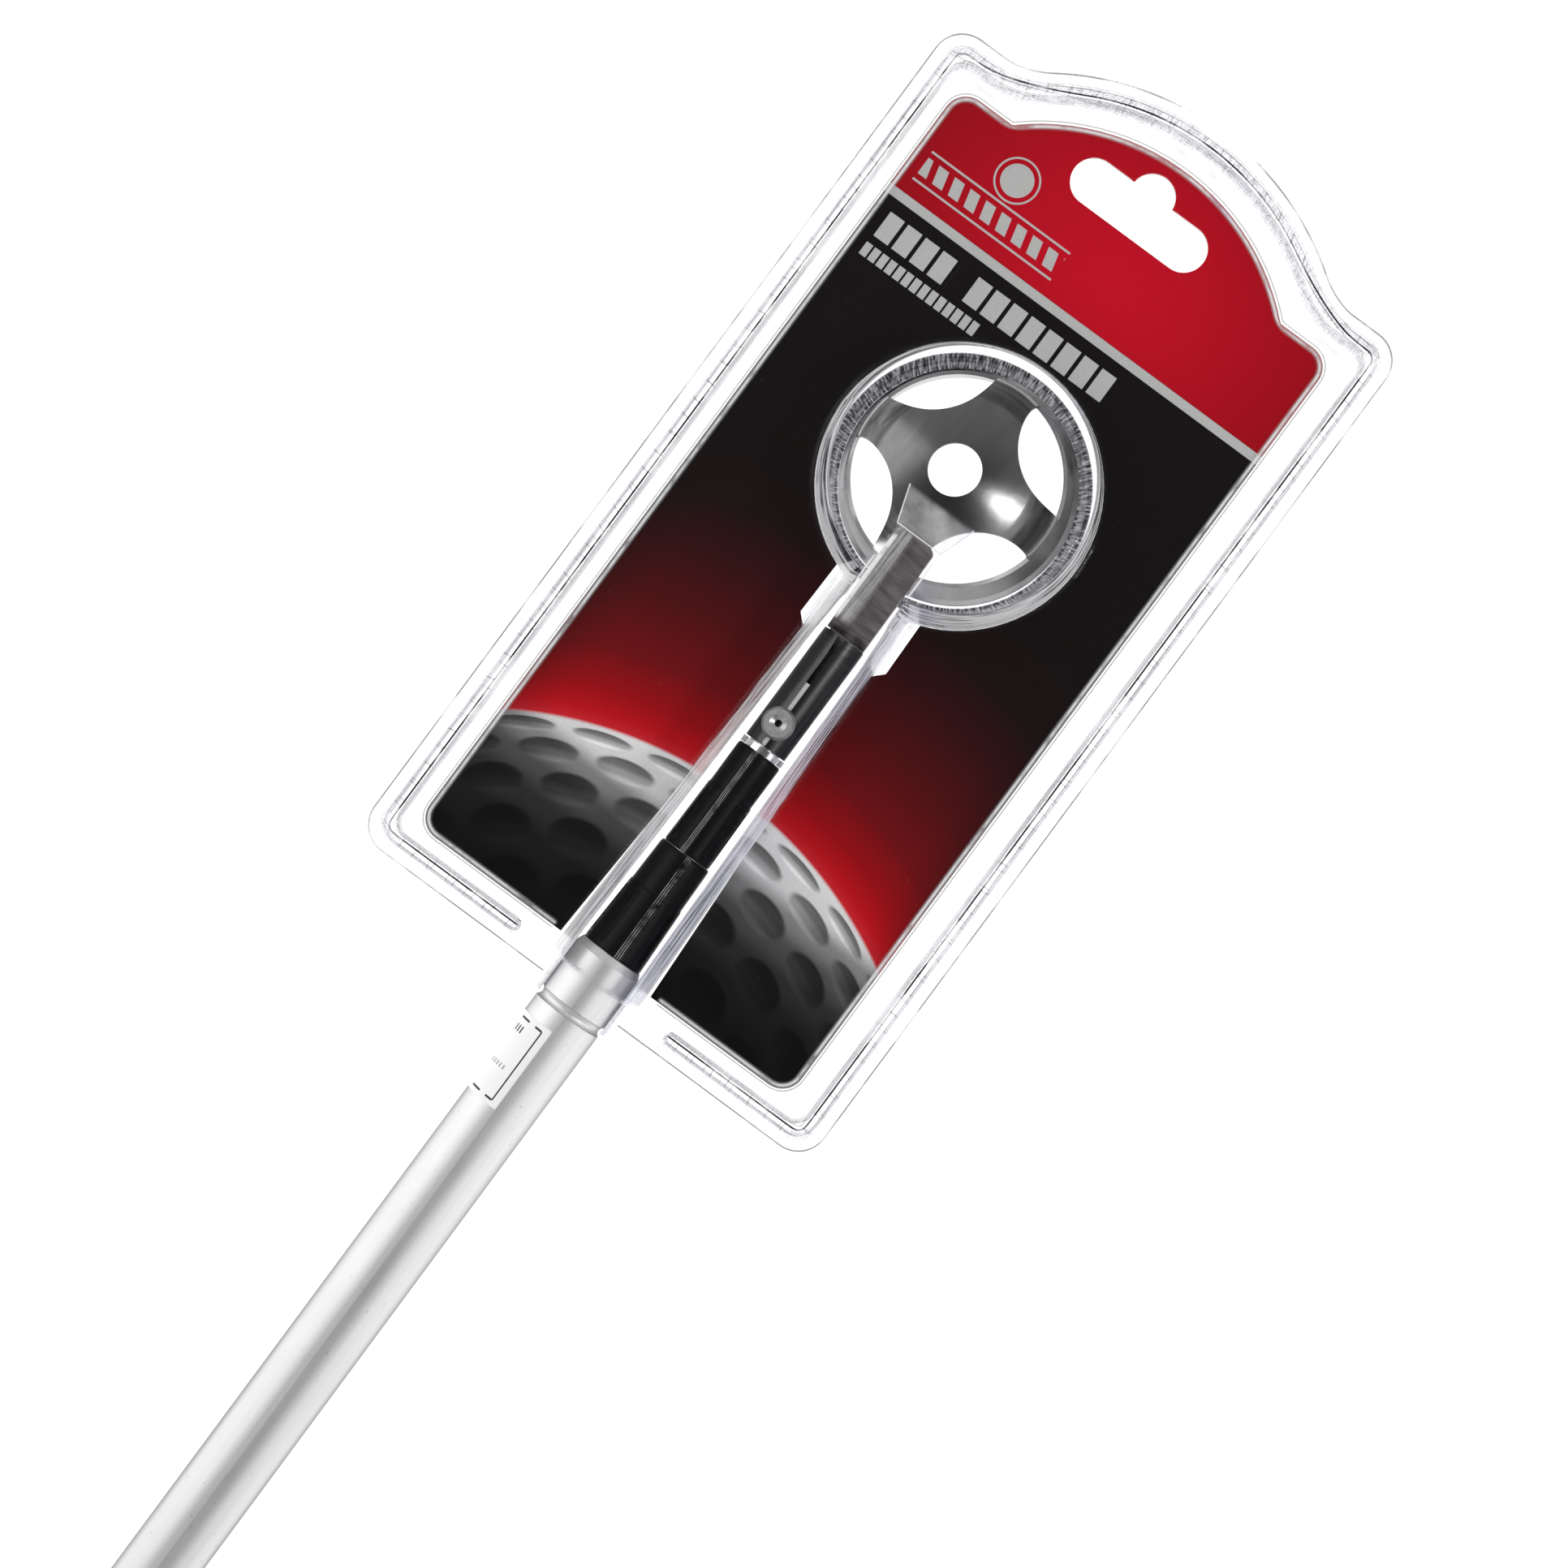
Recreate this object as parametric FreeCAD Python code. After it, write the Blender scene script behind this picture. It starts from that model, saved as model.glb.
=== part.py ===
"""Telescopic golf ball retriever in its clear retail pack, lying face up.

+Y runs along the pole towards the ball cup, +Z is up, millimetres. Lengths along the pole are
stations: 0 is the mouth of the outer tube, and positive stations are nearer the cup.
"""

import FreeCAD, Part
import math
import os

V = FreeCAD.Vector
Y_AXIS = V(0, 1, 0)
Z_AXIS = V(0, 0, 1)

# --- Pole -------------------------------------------------------------------------------------
AXIS_Z = 14.0                 # height of the pole's axis above the surface it lies on
RUN = 0.08                    # radial running clearance of every sliding fit
FACE_GAP = 0.1                # gap between end faces of neighbouring sections
TRAVEL = 650.0                # pull-out of each section
END_PLAY = 0.5                # left between a slider and its bush at full pull-out

OUTER_R = 7.5
OUTER_WALL = 0.6
OUTER_LENGTH = 700.0
CRIMP_AT = -13.8              # roll crimp that holds the outer bush
CRIMP_DEPTH = 0.65
CRIMP_HALF = 1.1
MOUTH_LIP = 1.6               # length over which the tube's mouth is spun in
MOUTH_R = 6.75

SECOND_R = 5.8
THIRD_R = 4.7
INNER_R = 3.5
THIN_WALL = 0.5               # wall of the three inner tubes

FERRULE_LENGTH = 24.5
FERRULE_SEAT = 18.0           # how far a tube goes into its ferrule
SECOND_FERRULE_R = (6.65, 5.7)    # radius at the foot and at the top
THIRD_FERRULE_R = (5.3, 4.95)
FERRULE_STEP_AT = 14.5        # foot part ends here and the plain collar begins
FERRULE_STEP = 0.18

OUTER_BUSH_END = -30.0
SECOND_BUSH_END = -4.0
THIRD_BUSH_END = 20.0
SLIDER_HEAD = 9.5             # length of a slider below its tube
SLIDER_STEM = 10.5            # length of a slider inside its tube
RING_WIDTH = 2.2
RING_DEPTH = 0.9

# --- Grip -------------------------------------------------------------------------------------
BUTT_END = -712.0
GRIP_FRONT = -470.0
GRIP_BUTT = -706.0
GRIP_FRONT_R = 10.2
GRIP_BUTT_R = 13.4
GRIP_FRONT_FLARE = 0.9        # how much wider the taper ends than the ringed part
GRIP_TAPER = 0.5              # loss of radius over the butt's straight-sided part
GRIP_TAPER_LENGTH = 26.0
GRIP_RINGS = 3                # raised rings at the front of the grip
GRIP_RING_PITCH = 6.0
GRIP_RING_RISE = 0.5
GRIP_RING_SLOPE = 1.0         # length of each side of a ring
GRIP_RING_TOP = 2.0
GRIP_RING_LEAD = 4.0          # from the end of the taper to the first ring
VENT_R = 1.6
PLUG_LENGTH = 6.0
CAP_SKIRT = 3.0               # straight side of the butt cap before its dome
CAP_DOME_AT = (1.1, 3.5)      # a point of the dome: up from the butt end, in from the side
CAP_SEAT = 1.0                # depth of the cap's round seat for the tube
LABEL_FROM = -37.5
LABEL_TO = -18.7
LABEL_THICK = 0.12
LABEL_START_DEG = 92.0        # measured from +X over the top of the tube
LABEL_SPAN_DEG = 100.0

# --- Head -------------------------------------------------------------------------------------
HEAD_ROLL = -8.0              # the head sits slightly turned on the pole
HEAD_PITCH = -2.0
NECK_RING_R = 4.95
NECK_RING_LENGTH = 1.3
SLEEVE_FROM = 50.9
SLEEVE_TO = 77.2
SLEEVE_R = 4.7
SLEEVE_WALL = 0.5
SEAM_WIDTH = 1.0
SEAM_FLARE = 2.0              # width of the seam's V at the upper end
SEAM_FLARE_LENGTH = 4.0
INNER_TUBE_TOP = 66.0
RIVET_AT = 56.2
RIVET_FLANGE_R = 3.4
RIVET_FLANGE = 0.6            # height of the flange
RIVET_BEVEL = 0.5
RIVET_TAIL = 0.6              # how far the barrel passes the inner tube's wall
RIVET_BARREL_R = 1.6
RIVET_HOLE_R = 0.75
STRAP_WIDTH = 8.9
STRAP_TANG = 7.2
STRAP_THICK = 1.4
STRAP_END = 101.3
STRAP_LIFT = 0.35             # keeps the weld to a thin line of the cup's web
STRAP_YAW = -2.3              # brings the rolled strap back over the pole's centre line
STRAP_TANG_GAP = 0.5          # from the inner tube's end to the strap's tang
STRAP_BEND_GAP = 0.5          # from the sleeve's mouth to the strap's bend
STRAP_CORNER = 1.2
WELD_BELOW = 10.0             # degrees from the top of the shoulder down to the weld
CUP_AT = 116.0
RIM_Z = 4.5                   # height of the cup's rim plane at its centre
RIM_R = 24.2
RIM_THICK = 0.9
CUP_WALL = 0.8
BAND_FOOT_R = 23.2
BAND_TOP_R = 21.9
BAND_TOP = 8.6
SHOULDER_R = 7.42
SHOULDER_SWEEP = 83.0
CUP_HOLE_R = 5.35
CUP_TOP = 17.1
WINDOW_R = 14.3
WINDOW_AT = 26.9              # distance of a window's centre from the cup's axis

# --- Pack -------------------------------------------------------------------------------------
PACK_HALF = 56.1
PACK_BOTTOM = -11.5
SHOULDER = 190.7
PACK_TOP = 204.6
ARCH_R = 60.0
PACK_CORNER = 6.5
ARCH_FILLET = 3.0
SHEET = 0.45                  # thickness of the clear sheet
TRAY_TOP = 5.6                # upper face of the back shell
CARD_THICK = 0.5
FRONT_FOOT = 5.7              # lower face of the front shell
BEAD_INSET = (2.5, 5.4)       # the perimeter bead lies between these insets
BEAD_HEIGHT = 3.0
BEAD_GAP_HALF = 18.2          # the bead stops this far each side of the tube
PANEL_INSET = 8.0
PANEL_RAISE = 0.6
LEG_HALF = 16.4               # the panel runs out to the bottom edge this far each side of the tube
CARD_HALF = 46.3
CARD_X = -1.0                 # the card lies a little to one side in the pack
CARD_BOTTOM = -2.9
CARD_SHOULDER = 180.6
CARD_TOP = 193.7
CARD_ARCH_R = 49.2
CARD_CORNER = 4.8
CARD_ARCH_FILLET = 0.6
CARD_HOLE_R = 28.9
NECK_CUT_HALF = (9.8, 10.6)   # half width at the cup and at the wide part's lower end
NECK_CUT_FROM = 74.1
NECK_CUT_CHAMFER = 3.0
POLE_CUT_HALF = 11.2          # half width of the tapered cut at the card's bottom edge
POCKET_R = (29.2, 26.4)       # front pocket: radius at the foot and at the roof
POCKET_ROOF = 23.5
TRAY_POCKET_R = (26.7, 24.9)  # back pocket: radius at the card and at the floor
TRAY_RECESS = 3.0             # depth of the back shell's recess under the neck
TRAY_RECESS_GAP = 0.6         # from the edge of the card's neck cut to the recess
TRAY_RECESS_LAP = 6.0         # how far the recess runs into the cup pocket
# front tunnel over the pole: station, half width at the foot and at the roof, height of the roof
TUNNEL = [(-6.0, 10.9, 7.6, 23.2), (74.0, 8.9, 6.2, 22.2), (84.0, 8.5, 5.6, 22.6)]
NOSE = [(80.0, 8.4, 5.4, 22.4), (102.0, 8.2, 5.2, 25.2), (108.5, 8.2, 5.2, 23.2)]
COLLAR_R = 7.9
COLLAR_FROM = -13.8
SLOT_AT = 181.1
SLOT_X = -3.3
SLOT_LENGTH = 32.0
SLOT_WIDTH = 9.7
SLOT_BUMP_HALF = 4.7
SLOT_BUMP_TOP = 190.3

MOUTH_Y = -(BUTT_END + PACK_TOP) / 2    # puts the origin midway along the whole object
CUT = 1.0                               # how far a cutting tool runs past a face


def save(name, shape):
    """Moves a shape from stations to the object's frame and writes its STEP file."""
    placed = shape.copy()
    placed.translate(V(0, MOUTH_Y, 0))
    placed.exportStep(f"parts/{name}.step")
    print(name, round(placed.Volume, 2), "mm3", len(placed.Solids), "solid", placed.isValid())


def face_of(points):
    """Plane face inside a closed polygon."""
    return Part.Face(Part.makePolygon(points + [points[0]]))


def lathe(edges_or_points):
    """Solid turned about the pole's axis from (station, radius) points or ready edges."""
    if isinstance(edges_or_points[0], tuple):
        face = face_of([V(0, s, AXIS_Z + r) for s, r in edges_or_points])
    else:
        face = Part.Face(Part.Wire(edges_or_points))
    return face.revolve(V(0, 0, AXIS_Z), Y_AXIS, 360)


def pipe(start, end, r_out, r_in=0.0):
    """Round bar or ring on the pole's axis."""
    bar = Part.makeCylinder(r_out, end - start, V(0, start, AXIS_Z), Y_AXIS)
    if r_in:
        bar = bar.cut(Part.makeCylinder(r_in, end - start, V(0, start, AXIS_Z), Y_AXIS))
    return bar


def crimped(points_before, points_after, radius):
    """Edge chain along a turned face with the crimp's round groove in the middle."""
    start, low, end = [
        V(0, CRIMP_AT + s, AXIS_Z + radius - d)
        for s, d in ((-CRIMP_HALF, 0), (0, CRIMP_DEPTH), (CRIMP_HALF, 0))
    ]
    before = [V(0, s, AXIS_Z + r) for s, r in points_before] + [start]
    after = [end] + [V(0, s, AXIS_Z + r) for s, r in points_after]
    edges = [Part.makeLine(a, b) for a, b in zip(before, before[1:])]
    edges.append(Part.Arc(start, low, end).toShape())
    edges += [Part.makeLine(a, b) for a, b in zip(after, after[1:])]
    return edges


# --- Handle -----------------------------------------------------------------------------------
def outer_tube():
    bore = OUTER_R - OUTER_WALL
    lip_bore = MOUTH_R - OUTER_WALL
    outside = crimped([(-OUTER_LENGTH, OUTER_R)], [(-MOUTH_LIP, OUTER_R), (0, MOUTH_R)], OUTER_R)
    inside = crimped([(-OUTER_LENGTH, bore)], [(-MOUTH_LIP, bore), (0, lip_bore)], bore)
    ends = [
        Part.makeLine(V(0, s, AXIS_Z + r_in), V(0, s, AXIS_Z + r_out))
        for s, r_in, r_out in ((-OUTER_LENGTH, bore, OUTER_R), (0, lip_bore, MOUTH_R))
    ]
    return lathe(Part.__sortEdges__(outside + inside + ends))


def outer_bush():
    bore = SECOND_R + RUN
    skin = OUTER_R - OUTER_WALL
    outside = crimped([(OUTER_BUSH_END, skin)], [(-MOUTH_LIP, skin)], skin)
    rest = [(-MOUTH_LIP, skin), (-MOUTH_LIP, bore), (OUTER_BUSH_END, bore), (OUTER_BUSH_END, skin)]
    corners = [V(0, s, AXIS_Z + r) for s, r in rest]
    lines = [Part.makeLine(a, b) for a, b in zip(corners, corners[1:])]
    return lathe(Part.__sortEdges__(outside + lines))


def end_plug():
    return pipe(-OUTER_LENGTH, -OUTER_LENGTH + PLUG_LENGTH, OUTER_R - OUTER_WALL, VENT_R)


def grip():
    """Tapered rubber grip with raised rings at its front end."""
    crest = GRIP_FRONT_R + GRIP_RING_RISE
    taper_end = GRIP_FRONT - GRIP_RINGS * GRIP_RING_PITCH - GRIP_RING_LEAD
    profile = [
        (GRIP_BUTT, OUTER_R), (GRIP_BUTT, GRIP_BUTT_R),
        (GRIP_BUTT + GRIP_TAPER_LENGTH, GRIP_BUTT_R - GRIP_TAPER),
        (taper_end, GRIP_FRONT_R + GRIP_FRONT_FLARE),
    ]
    for i in range(GRIP_RINGS):
        foot = GRIP_FRONT - (GRIP_RINGS - i) * GRIP_RING_PITCH
        top = foot + GRIP_RING_SLOPE
        profile += [(foot, GRIP_FRONT_R), (top, crest), (top + GRIP_RING_TOP, crest)]
        profile.append((top + GRIP_RING_TOP + GRIP_RING_SLOPE, GRIP_FRONT_R))
    bevel = GRIP_RING_SLOPE
    profile += [(GRIP_FRONT - bevel, GRIP_FRONT_R), (GRIP_FRONT, GRIP_FRONT_R - bevel)]
    profile.append((GRIP_FRONT, OUTER_R))
    return lathe(profile)


def butt_cap():
    """Domed rubber cap that closes the grip, with the vent hole through it."""
    rise, inset = CAP_DOME_AT
    seat = GRIP_BUTT - CAP_SEAT
    rim = V(0, GRIP_BUTT, 2 * AXIS_Z)
    edge = V(0, GRIP_BUTT - CAP_SKIRT, 2 * AXIS_Z)
    crown = V(0, BUTT_END, AXIS_Z + VENT_R)
    dome = V(0, BUTT_END + rise, 2 * AXIS_Z - inset)
    bore = [(BUTT_END, VENT_R), (seat, VENT_R), (seat, OUTER_R), (GRIP_BUTT, OUTER_R)]
    chain = [V(0, s, AXIS_Z + r) for s, r in bore] + [rim, edge]
    edges = [Part.makeLine(a, b) for a, b in zip(chain, chain[1:])]
    edges.append(Part.Arc(edge, dome, crown).toShape())
    return lathe(Part.__sortEdges__(edges)).cut(pipe(seat, GRIP_BUTT + CUT, OUTER_R + RUN))


def tube_label():
    """Paper label wrapped part of the way round the outer tube."""
    band = pipe(LABEL_FROM, LABEL_TO, OUTER_R + LABEL_THICK, OUTER_R)
    wedge = Part.makeCylinder(
        OUTER_R + CUT, LABEL_TO - LABEL_FROM, V(0, LABEL_FROM, AXIS_Z), Y_AXIS, LABEL_SPAN_DEG
    )
    middle = wedge.CenterOfMass
    heading = math.degrees(math.atan2(middle.z - AXIS_Z, middle.x))
    wedge.rotate(V(0, 0, AXIS_Z), Y_AXIS, heading - LABEL_START_DEG - LABEL_SPAN_DEG / 2)
    return band.common(wedge)


# --- Sliding sections -------------------------------------------------------------------------
def ferrule(foot, tube_r, radii, bore):
    """Tapered black ferrule: a foot part on the tube's end, a step, and a plain collar."""
    step = foot + FERRULE_STEP_AT
    top = foot + FERRULE_LENGTH
    share = FERRULE_STEP_AT / FERRULE_LENGTH
    step_r = radii[0] + (radii[1] - radii[0]) * share
    body = lathe([
        (foot, tube_r), (foot, radii[0] - 0.2), (foot + 0.4, radii[0]), (step, step_r),
        (step + 0.3, step_r - FERRULE_STEP), (top - 0.4, radii[1]), (top, radii[1] - 0.3),
        (top, bore), (foot + FERRULE_SEAT, bore), (foot + FERRULE_SEAT, tube_r),
    ])
    return body


def slider(tube_bottom, tube_bore, parent_bore):
    """Nylon friction slider: stem inside the tube, head that runs in the next tube."""
    head_r = parent_bore - RUN
    groove = head_r - RING_DEPTH
    mid = tube_bottom - SLIDER_HEAD / 2
    return lathe([
        (tube_bottom + SLIDER_STEM, 1.0), (tube_bottom + SLIDER_STEM, tube_bore),
        (tube_bottom, tube_bore), (tube_bottom, head_r),
        (mid + RING_WIDTH / 2, head_r), (mid + RING_WIDTH / 2, groove),
        (mid - RING_WIDTH / 2, groove), (mid - RING_WIDTH / 2, head_r),
        (tube_bottom - SLIDER_HEAD, head_r), (tube_bottom - SLIDER_HEAD, 1.0),
    ])


def slider_ring(tube_bottom, parent_bore):
    """Rubber friction ring in a slider's groove."""
    mid = tube_bottom - SLIDER_HEAD / 2
    groove = parent_bore - RUN - RING_DEPTH
    half = RING_WIDTH / 2 - 0.1
    return pipe(mid - half, mid + half, parent_bore - 0.06, groove + 0.05)


def sliding_section(name, tube_r, parent_bore, parent_bush_end, tube_top):
    """A tube with its slider and friction ring, as wide as its parent's bush lets through."""
    bore = tube_r - THIN_WALL
    bottom = parent_bush_end - TRAVEL - END_PLAY
    save(f"{name}_tube", pipe(bottom, tube_top, tube_r, bore))
    save(f"{name}_slider", slider(bottom, bore, parent_bore))
    save(f"{name}_slider_ring", slider_ring(bottom, parent_bore))
    return bore


# --- Head -------------------------------------------------------------------------------------
def rolled(shape):
    """Turns a piece of the head by the head's roll about the pole's axis."""
    turned = shape.copy()
    turned.rotate(V(0, 0, AXIS_Z), Y_AXIS, HEAD_ROLL)
    return turned


def neck_sleeve():
    """Rolled sheet sleeve: its seam faces up and opens in a V at the cup end."""
    tube = pipe(SLEEVE_FROM, SLEEVE_TO, SLEEVE_R, SLEEVE_R - SLEEVE_WALL)
    flare_from = SLEEVE_TO - SEAM_FLARE_LENGTH
    side = [
        (SEAM_WIDTH / 2, SLEEVE_FROM - CUT), (SEAM_WIDTH / 2, flare_from), (SEAM_FLARE / 2, SLEEVE_TO + CUT),
    ]
    seam = [V(x, s, AXIS_Z) for x, s in side] + [V(-x, s, AXIS_Z) for x, s in reversed(side)]
    tube = tube.cut(face_of(seam).extrude(V(0, 0, SLEEVE_R + CUT)))
    hole = Part.makeCylinder(RIVET_BARREL_R, SLEEVE_R + CUT, V(0, RIVET_AT, AXIS_Z), Z_AXIS)
    return rolled(tube.cut(hole))


def neck_plug():
    """Plastic plug that packs the inner tube's end out to the sleeve's bore."""
    plug = pipe(SLEEVE_FROM + 0.3, INNER_TUBE_TOP, SLEEVE_R - SLEEVE_WALL, INNER_R)
    hole = Part.makeCylinder(RIVET_BARREL_R, SLEEVE_R + CUT, V(0, RIVET_AT, AXIS_Z), Z_AXIS)
    return plug.cut(rolled(hole))


def inner_tube(bottom):
    tube = pipe(bottom, INNER_TUBE_TOP, INNER_R, INNER_R - THIN_WALL)
    hole = Part.makeCylinder(RIVET_BARREL_R, SLEEVE_R + CUT, V(0, RIVET_AT, AXIS_Z), Z_AXIS)
    return tube.cut(rolled(hole))


def neck_rivet():
    """Hollow eyelet rivet through the sleeve, the plug and the inner tube's upper wall."""
    seat = AXIS_Z + SLEEVE_R
    inside = AXIS_Z + INNER_R - THIN_WALL - RIVET_TAIL
    length = seat - inside
    on_seat = V(0, RIVET_AT, seat)
    top = V(0, RIVET_AT, seat + RIVET_FLANGE - RIVET_BEVEL)
    flange = Part.makeCone(RIVET_FLANGE_R, RIVET_FLANGE_R - RIVET_BEVEL, RIVET_FLANGE, on_seat, Z_AXIS)
    barrel = Part.makeCylinder(RIVET_BARREL_R, length, V(0, RIVET_AT, inside), Z_AXIS)
    hole = Part.makeCylinder(RIVET_HOLE_R, length + 2 * CUT, V(0, RIVET_AT, inside - CUT), Z_AXIS)
    dish = Part.makeCone(RIVET_HOLE_R, 2 * RIVET_HOLE_R + RIVET_BEVEL / 2, RIVET_BEVEL, top, Z_AXIS)
    return rolled(flange.fuse(barrel).cut(hole).cut(dish))


def strap():
    """Flat bar from the sleeve, rising to the weld on the cup's lower web."""
    contact = math.radians(SHOULDER_SWEEP - WELD_BELOW)
    touch_s = CUP_AT - (BAND_TOP_R - SHOULDER_R) - SHOULDER_R * math.cos(contact)
    touch_z = RIM_Z + BAND_TOP + SHOULDER_R * math.sin(contact) + STRAP_LIFT
    start = SLEEVE_TO + STRAP_BEND_GAP
    slope = (touch_z + STRAP_THICK / 2 - AXIS_Z) / (touch_s - start)
    end_z = AXIS_Z + slope * (STRAP_END - start)
    half = STRAP_THICK / 2
    line = [(INNER_TUBE_TOP + STRAP_TANG_GAP, AXIS_Z), (start, AXIS_Z), (STRAP_END, end_z)]
    side = [V(-STRAP_WIDTH / 2, s, z - half) for s, z in line]
    side += [V(-STRAP_WIDTH / 2, s, z + half) for s, z in reversed(line)]
    bar = face_of(side).extrude(V(STRAP_WIDTH, 0, 0))
    tang = (STRAP_WIDTH - STRAP_TANG) / 2
    shoulder = SLEEVE_TO + STRAP_BEND_GAP / 2
    depth = 2 * STRAP_THICK
    for x in (-STRAP_WIDTH / 2, STRAP_WIDTH / 2 - tang):
        corner = V(x, INNER_TUBE_TOP, AXIS_Z - STRAP_THICK)
        bar = bar.cut(Part.makeBox(tang, shoulder - INNER_TUBE_TOP, depth, corner))
    end_edges = [e for e in bar.Edges if abs(e.CenterOfMass.y - STRAP_END) < half]
    corners = [e for e in end_edges if e.Length < 2 * STRAP_THICK]
    bar = rolled(bar.makeFillet(STRAP_CORNER, corners))
    bar.rotate(V(0, SLEEVE_TO, AXIS_Z), Z_AXIS, STRAP_YAW)
    return bar


def cup_profile(drop):
    """Section of the cup's skin, moved in by drop: band, round shoulder, gently domed top."""
    centre_r = BAND_TOP_R - SHOULDER_R
    radius = SHOULDER_R - drop

    def on_shoulder(degrees):
        turn = math.radians(degrees)
        return centre_r + radius * math.cos(turn), BAND_TOP + radius * math.sin(turn)

    points = [on_shoulder(0), on_shoulder(SHOULDER_SWEEP / 2), on_shoulder(SHOULDER_SWEEP)]
    return [V(r, 0, h) for r, h in points] + [V(CUP_HOLE_R, 0, CUP_TOP - drop)]


def cup():
    """Pressed ball cup: rim, band, shoulder and top, with a centre hole and four windows."""
    outer = cup_profile(0.0)
    inner = cup_profile(CUP_WALL)
    rim = [V(RIM_R, 0, RIM_THICK), V(RIM_R, 0, 0), V(BAND_FOOT_R - CUP_WALL, 0, 0)]
    foot = V(BAND_FOOT_R, 0, RIM_THICK)
    edges = [
        Part.makeLine(foot, outer[0]), Part.Arc(*outer[:3]).toShape(), Part.makeLine(outer[2], outer[3]),
        Part.makeLine(outer[3], inner[3]), Part.makeLine(inner[3], inner[2]),
        Part.Arc(*inner[:3]).toShape(), Part.makeLine(inner[0], rim[2]),
        Part.makeLine(rim[2], rim[1]), Part.makeLine(rim[1], rim[0]), Part.makeLine(rim[0], foot),
    ]
    skin = Part.Face(Part.Wire(Part.__sortEdges__(edges))).revolve(V(0, 0, 0), Z_AXIS, 360)
    for i in range(4):
        turn = math.radians(45 + 90 * i)
        centre = V(WINDOW_AT * math.cos(turn), WINDOW_AT * math.sin(turn), BAND_TOP)
        skin = skin.cut(Part.makeCylinder(WINDOW_R, CUP_TOP, centre, Z_AXIS))
    skin.rotate(V(0, 0, 0), Y_AXIS, HEAD_ROLL)
    skin.rotate(V(0, 0, 0), V(1, 0, 0), HEAD_PITCH)
    skin.translate(V(0, CUP_AT, RIM_Z))
    return skin


# --- Pack -------------------------------------------------------------------------------------
def arched_slab(half, bottom, shoulder, top, arch_r, z0, z1, corner, arch_fillet):
    """Flat plate with an arched top between two shoulders, its upright edges rounded."""
    centre = top - arch_r
    spring = math.sqrt(arch_r ** 2 - (shoulder - centre) ** 2)
    base = [
        V(-spring, shoulder, z0), V(-half, shoulder, z0), V(-half, bottom, z0),
        V(half, bottom, z0), V(half, shoulder, z0), V(spring, shoulder, z0),
    ]
    edges = [Part.makeLine(a, b) for a, b in zip(base, base[1:])]
    edges.append(Part.Arc(base[-1], V(0, top, z0), base[0]).toShape())
    plate = Part.Face(Part.Wire(edges)).extrude(V(0, 0, z1 - z0))
    for radius, at in ((corner, half), (arch_fillet, spring)):
        upright = [
            e for e in plate.Edges
            if abs(e.Length - (z1 - z0)) < 1e-6 and len(e.Vertexes) == 2
            and abs(abs(e.Vertexes[0].X) - at) < 1e-3 and abs(e.Vertexes[0].X - e.Vertexes[1].X) < 1e-6
        ]
        plate = plate.makeFillet(radius, upright)
    return plate


def slab(inset, z0, z1):
    """The pack's outline, moved in by inset, as a plate between two heights."""
    corner = max(PACK_CORNER - inset, 2.0)
    return arched_slab(
        PACK_HALF - inset, PACK_BOTTOM + inset, SHOULDER - inset, PACK_TOP - inset,
        ARCH_R - inset, z0, z1, corner, ARCH_FILLET + inset,
    )


def bead(outer_inset, inner_inset, end_half, z0, z1):
    """Strip that follows the pack's outline and stops each side of the tube."""
    strip = slab(outer_inset, z0, z1).cut(slab(inner_inset, z0 - CUT, z1 + CUT))
    depth = inner_inset + 2 * CUT
    corner = V(-end_half, PACK_BOTTOM - CUT, z0 - CUT)
    return strip.cut(Part.makeBox(2 * end_half, depth, z1 - z0 + 2 * CUT, corner))


def tunnel(stations, inset, foot, end_inset=0.0):
    """Straight-sided tunnel lofted through (station, foot half, roof half, roof height) sections."""
    wires = []
    last = len(stations) - 1
    for i, (s, foot_half, roof_half, roof) in enumerate(stations):
        s += end_inset if i == 0 else (-end_inset if i == last else 0.0)
        wires.append(Part.makePolygon([
            V(-foot_half + inset, s, foot), V(-roof_half + inset, s, roof - inset),
            V(roof_half - inset, s, roof - inset), V(foot_half - inset, s, foot),
            V(-foot_half + inset, s, foot),
        ]))
    return Part.makeLoft(wires, True, True)


def collar(radius, start, end, foot):
    """Half-round cover over the tube with upright sides down to the sheet."""
    crown = Part.makeCylinder(radius, end - start, V(0, start, AXIS_Z), Y_AXIS)
    sides = Part.makeBox(2 * radius, end - start, AXIS_Z - foot, V(-radius, start, foot))
    keep = Part.makeBox(2 * radius, end - start, 2 * radius, V(-radius, start, AXIS_Z))
    return crown.common(keep).fuse(sides)


def hang_slot(z0, z1):
    """Hook slot: a round-ended bar with a round bump on its upper side."""
    half = SLOT_WIDTH / 2
    reach = SLOT_LENGTH / 2 - half
    depth = z1 - z0
    tool = Part.makeBox(2 * reach, SLOT_WIDTH, depth, V(SLOT_X - reach, SLOT_AT - half, z0))
    for x in (-reach, reach):
        tool = tool.fuse(Part.makeCylinder(half, depth, V(SLOT_X + x, SLOT_AT, z0), Z_AXIS))
    bump = SLOT_BUMP_TOP - SLOT_BUMP_HALF
    tool = tool.fuse(Part.makeCylinder(SLOT_BUMP_HALF, depth, V(SLOT_X, bump, z0), Z_AXIS))
    corner = V(SLOT_X - SLOT_BUMP_HALF, SLOT_AT, z0)
    return tool.fuse(Part.makeBox(2 * SLOT_BUMP_HALF, bump - SLOT_AT, depth, corner))


def panel_leg(inset, start, z0, z1):
    """Part of the raised panel that runs out to the pack's bottom edge under the pole."""
    half = LEG_HALF - inset
    return Part.makeBox(2 * half, PANEL_INSET + CUT - start, z1 - z0, V(-half, PACK_BOTTOM + start, z0))


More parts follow.
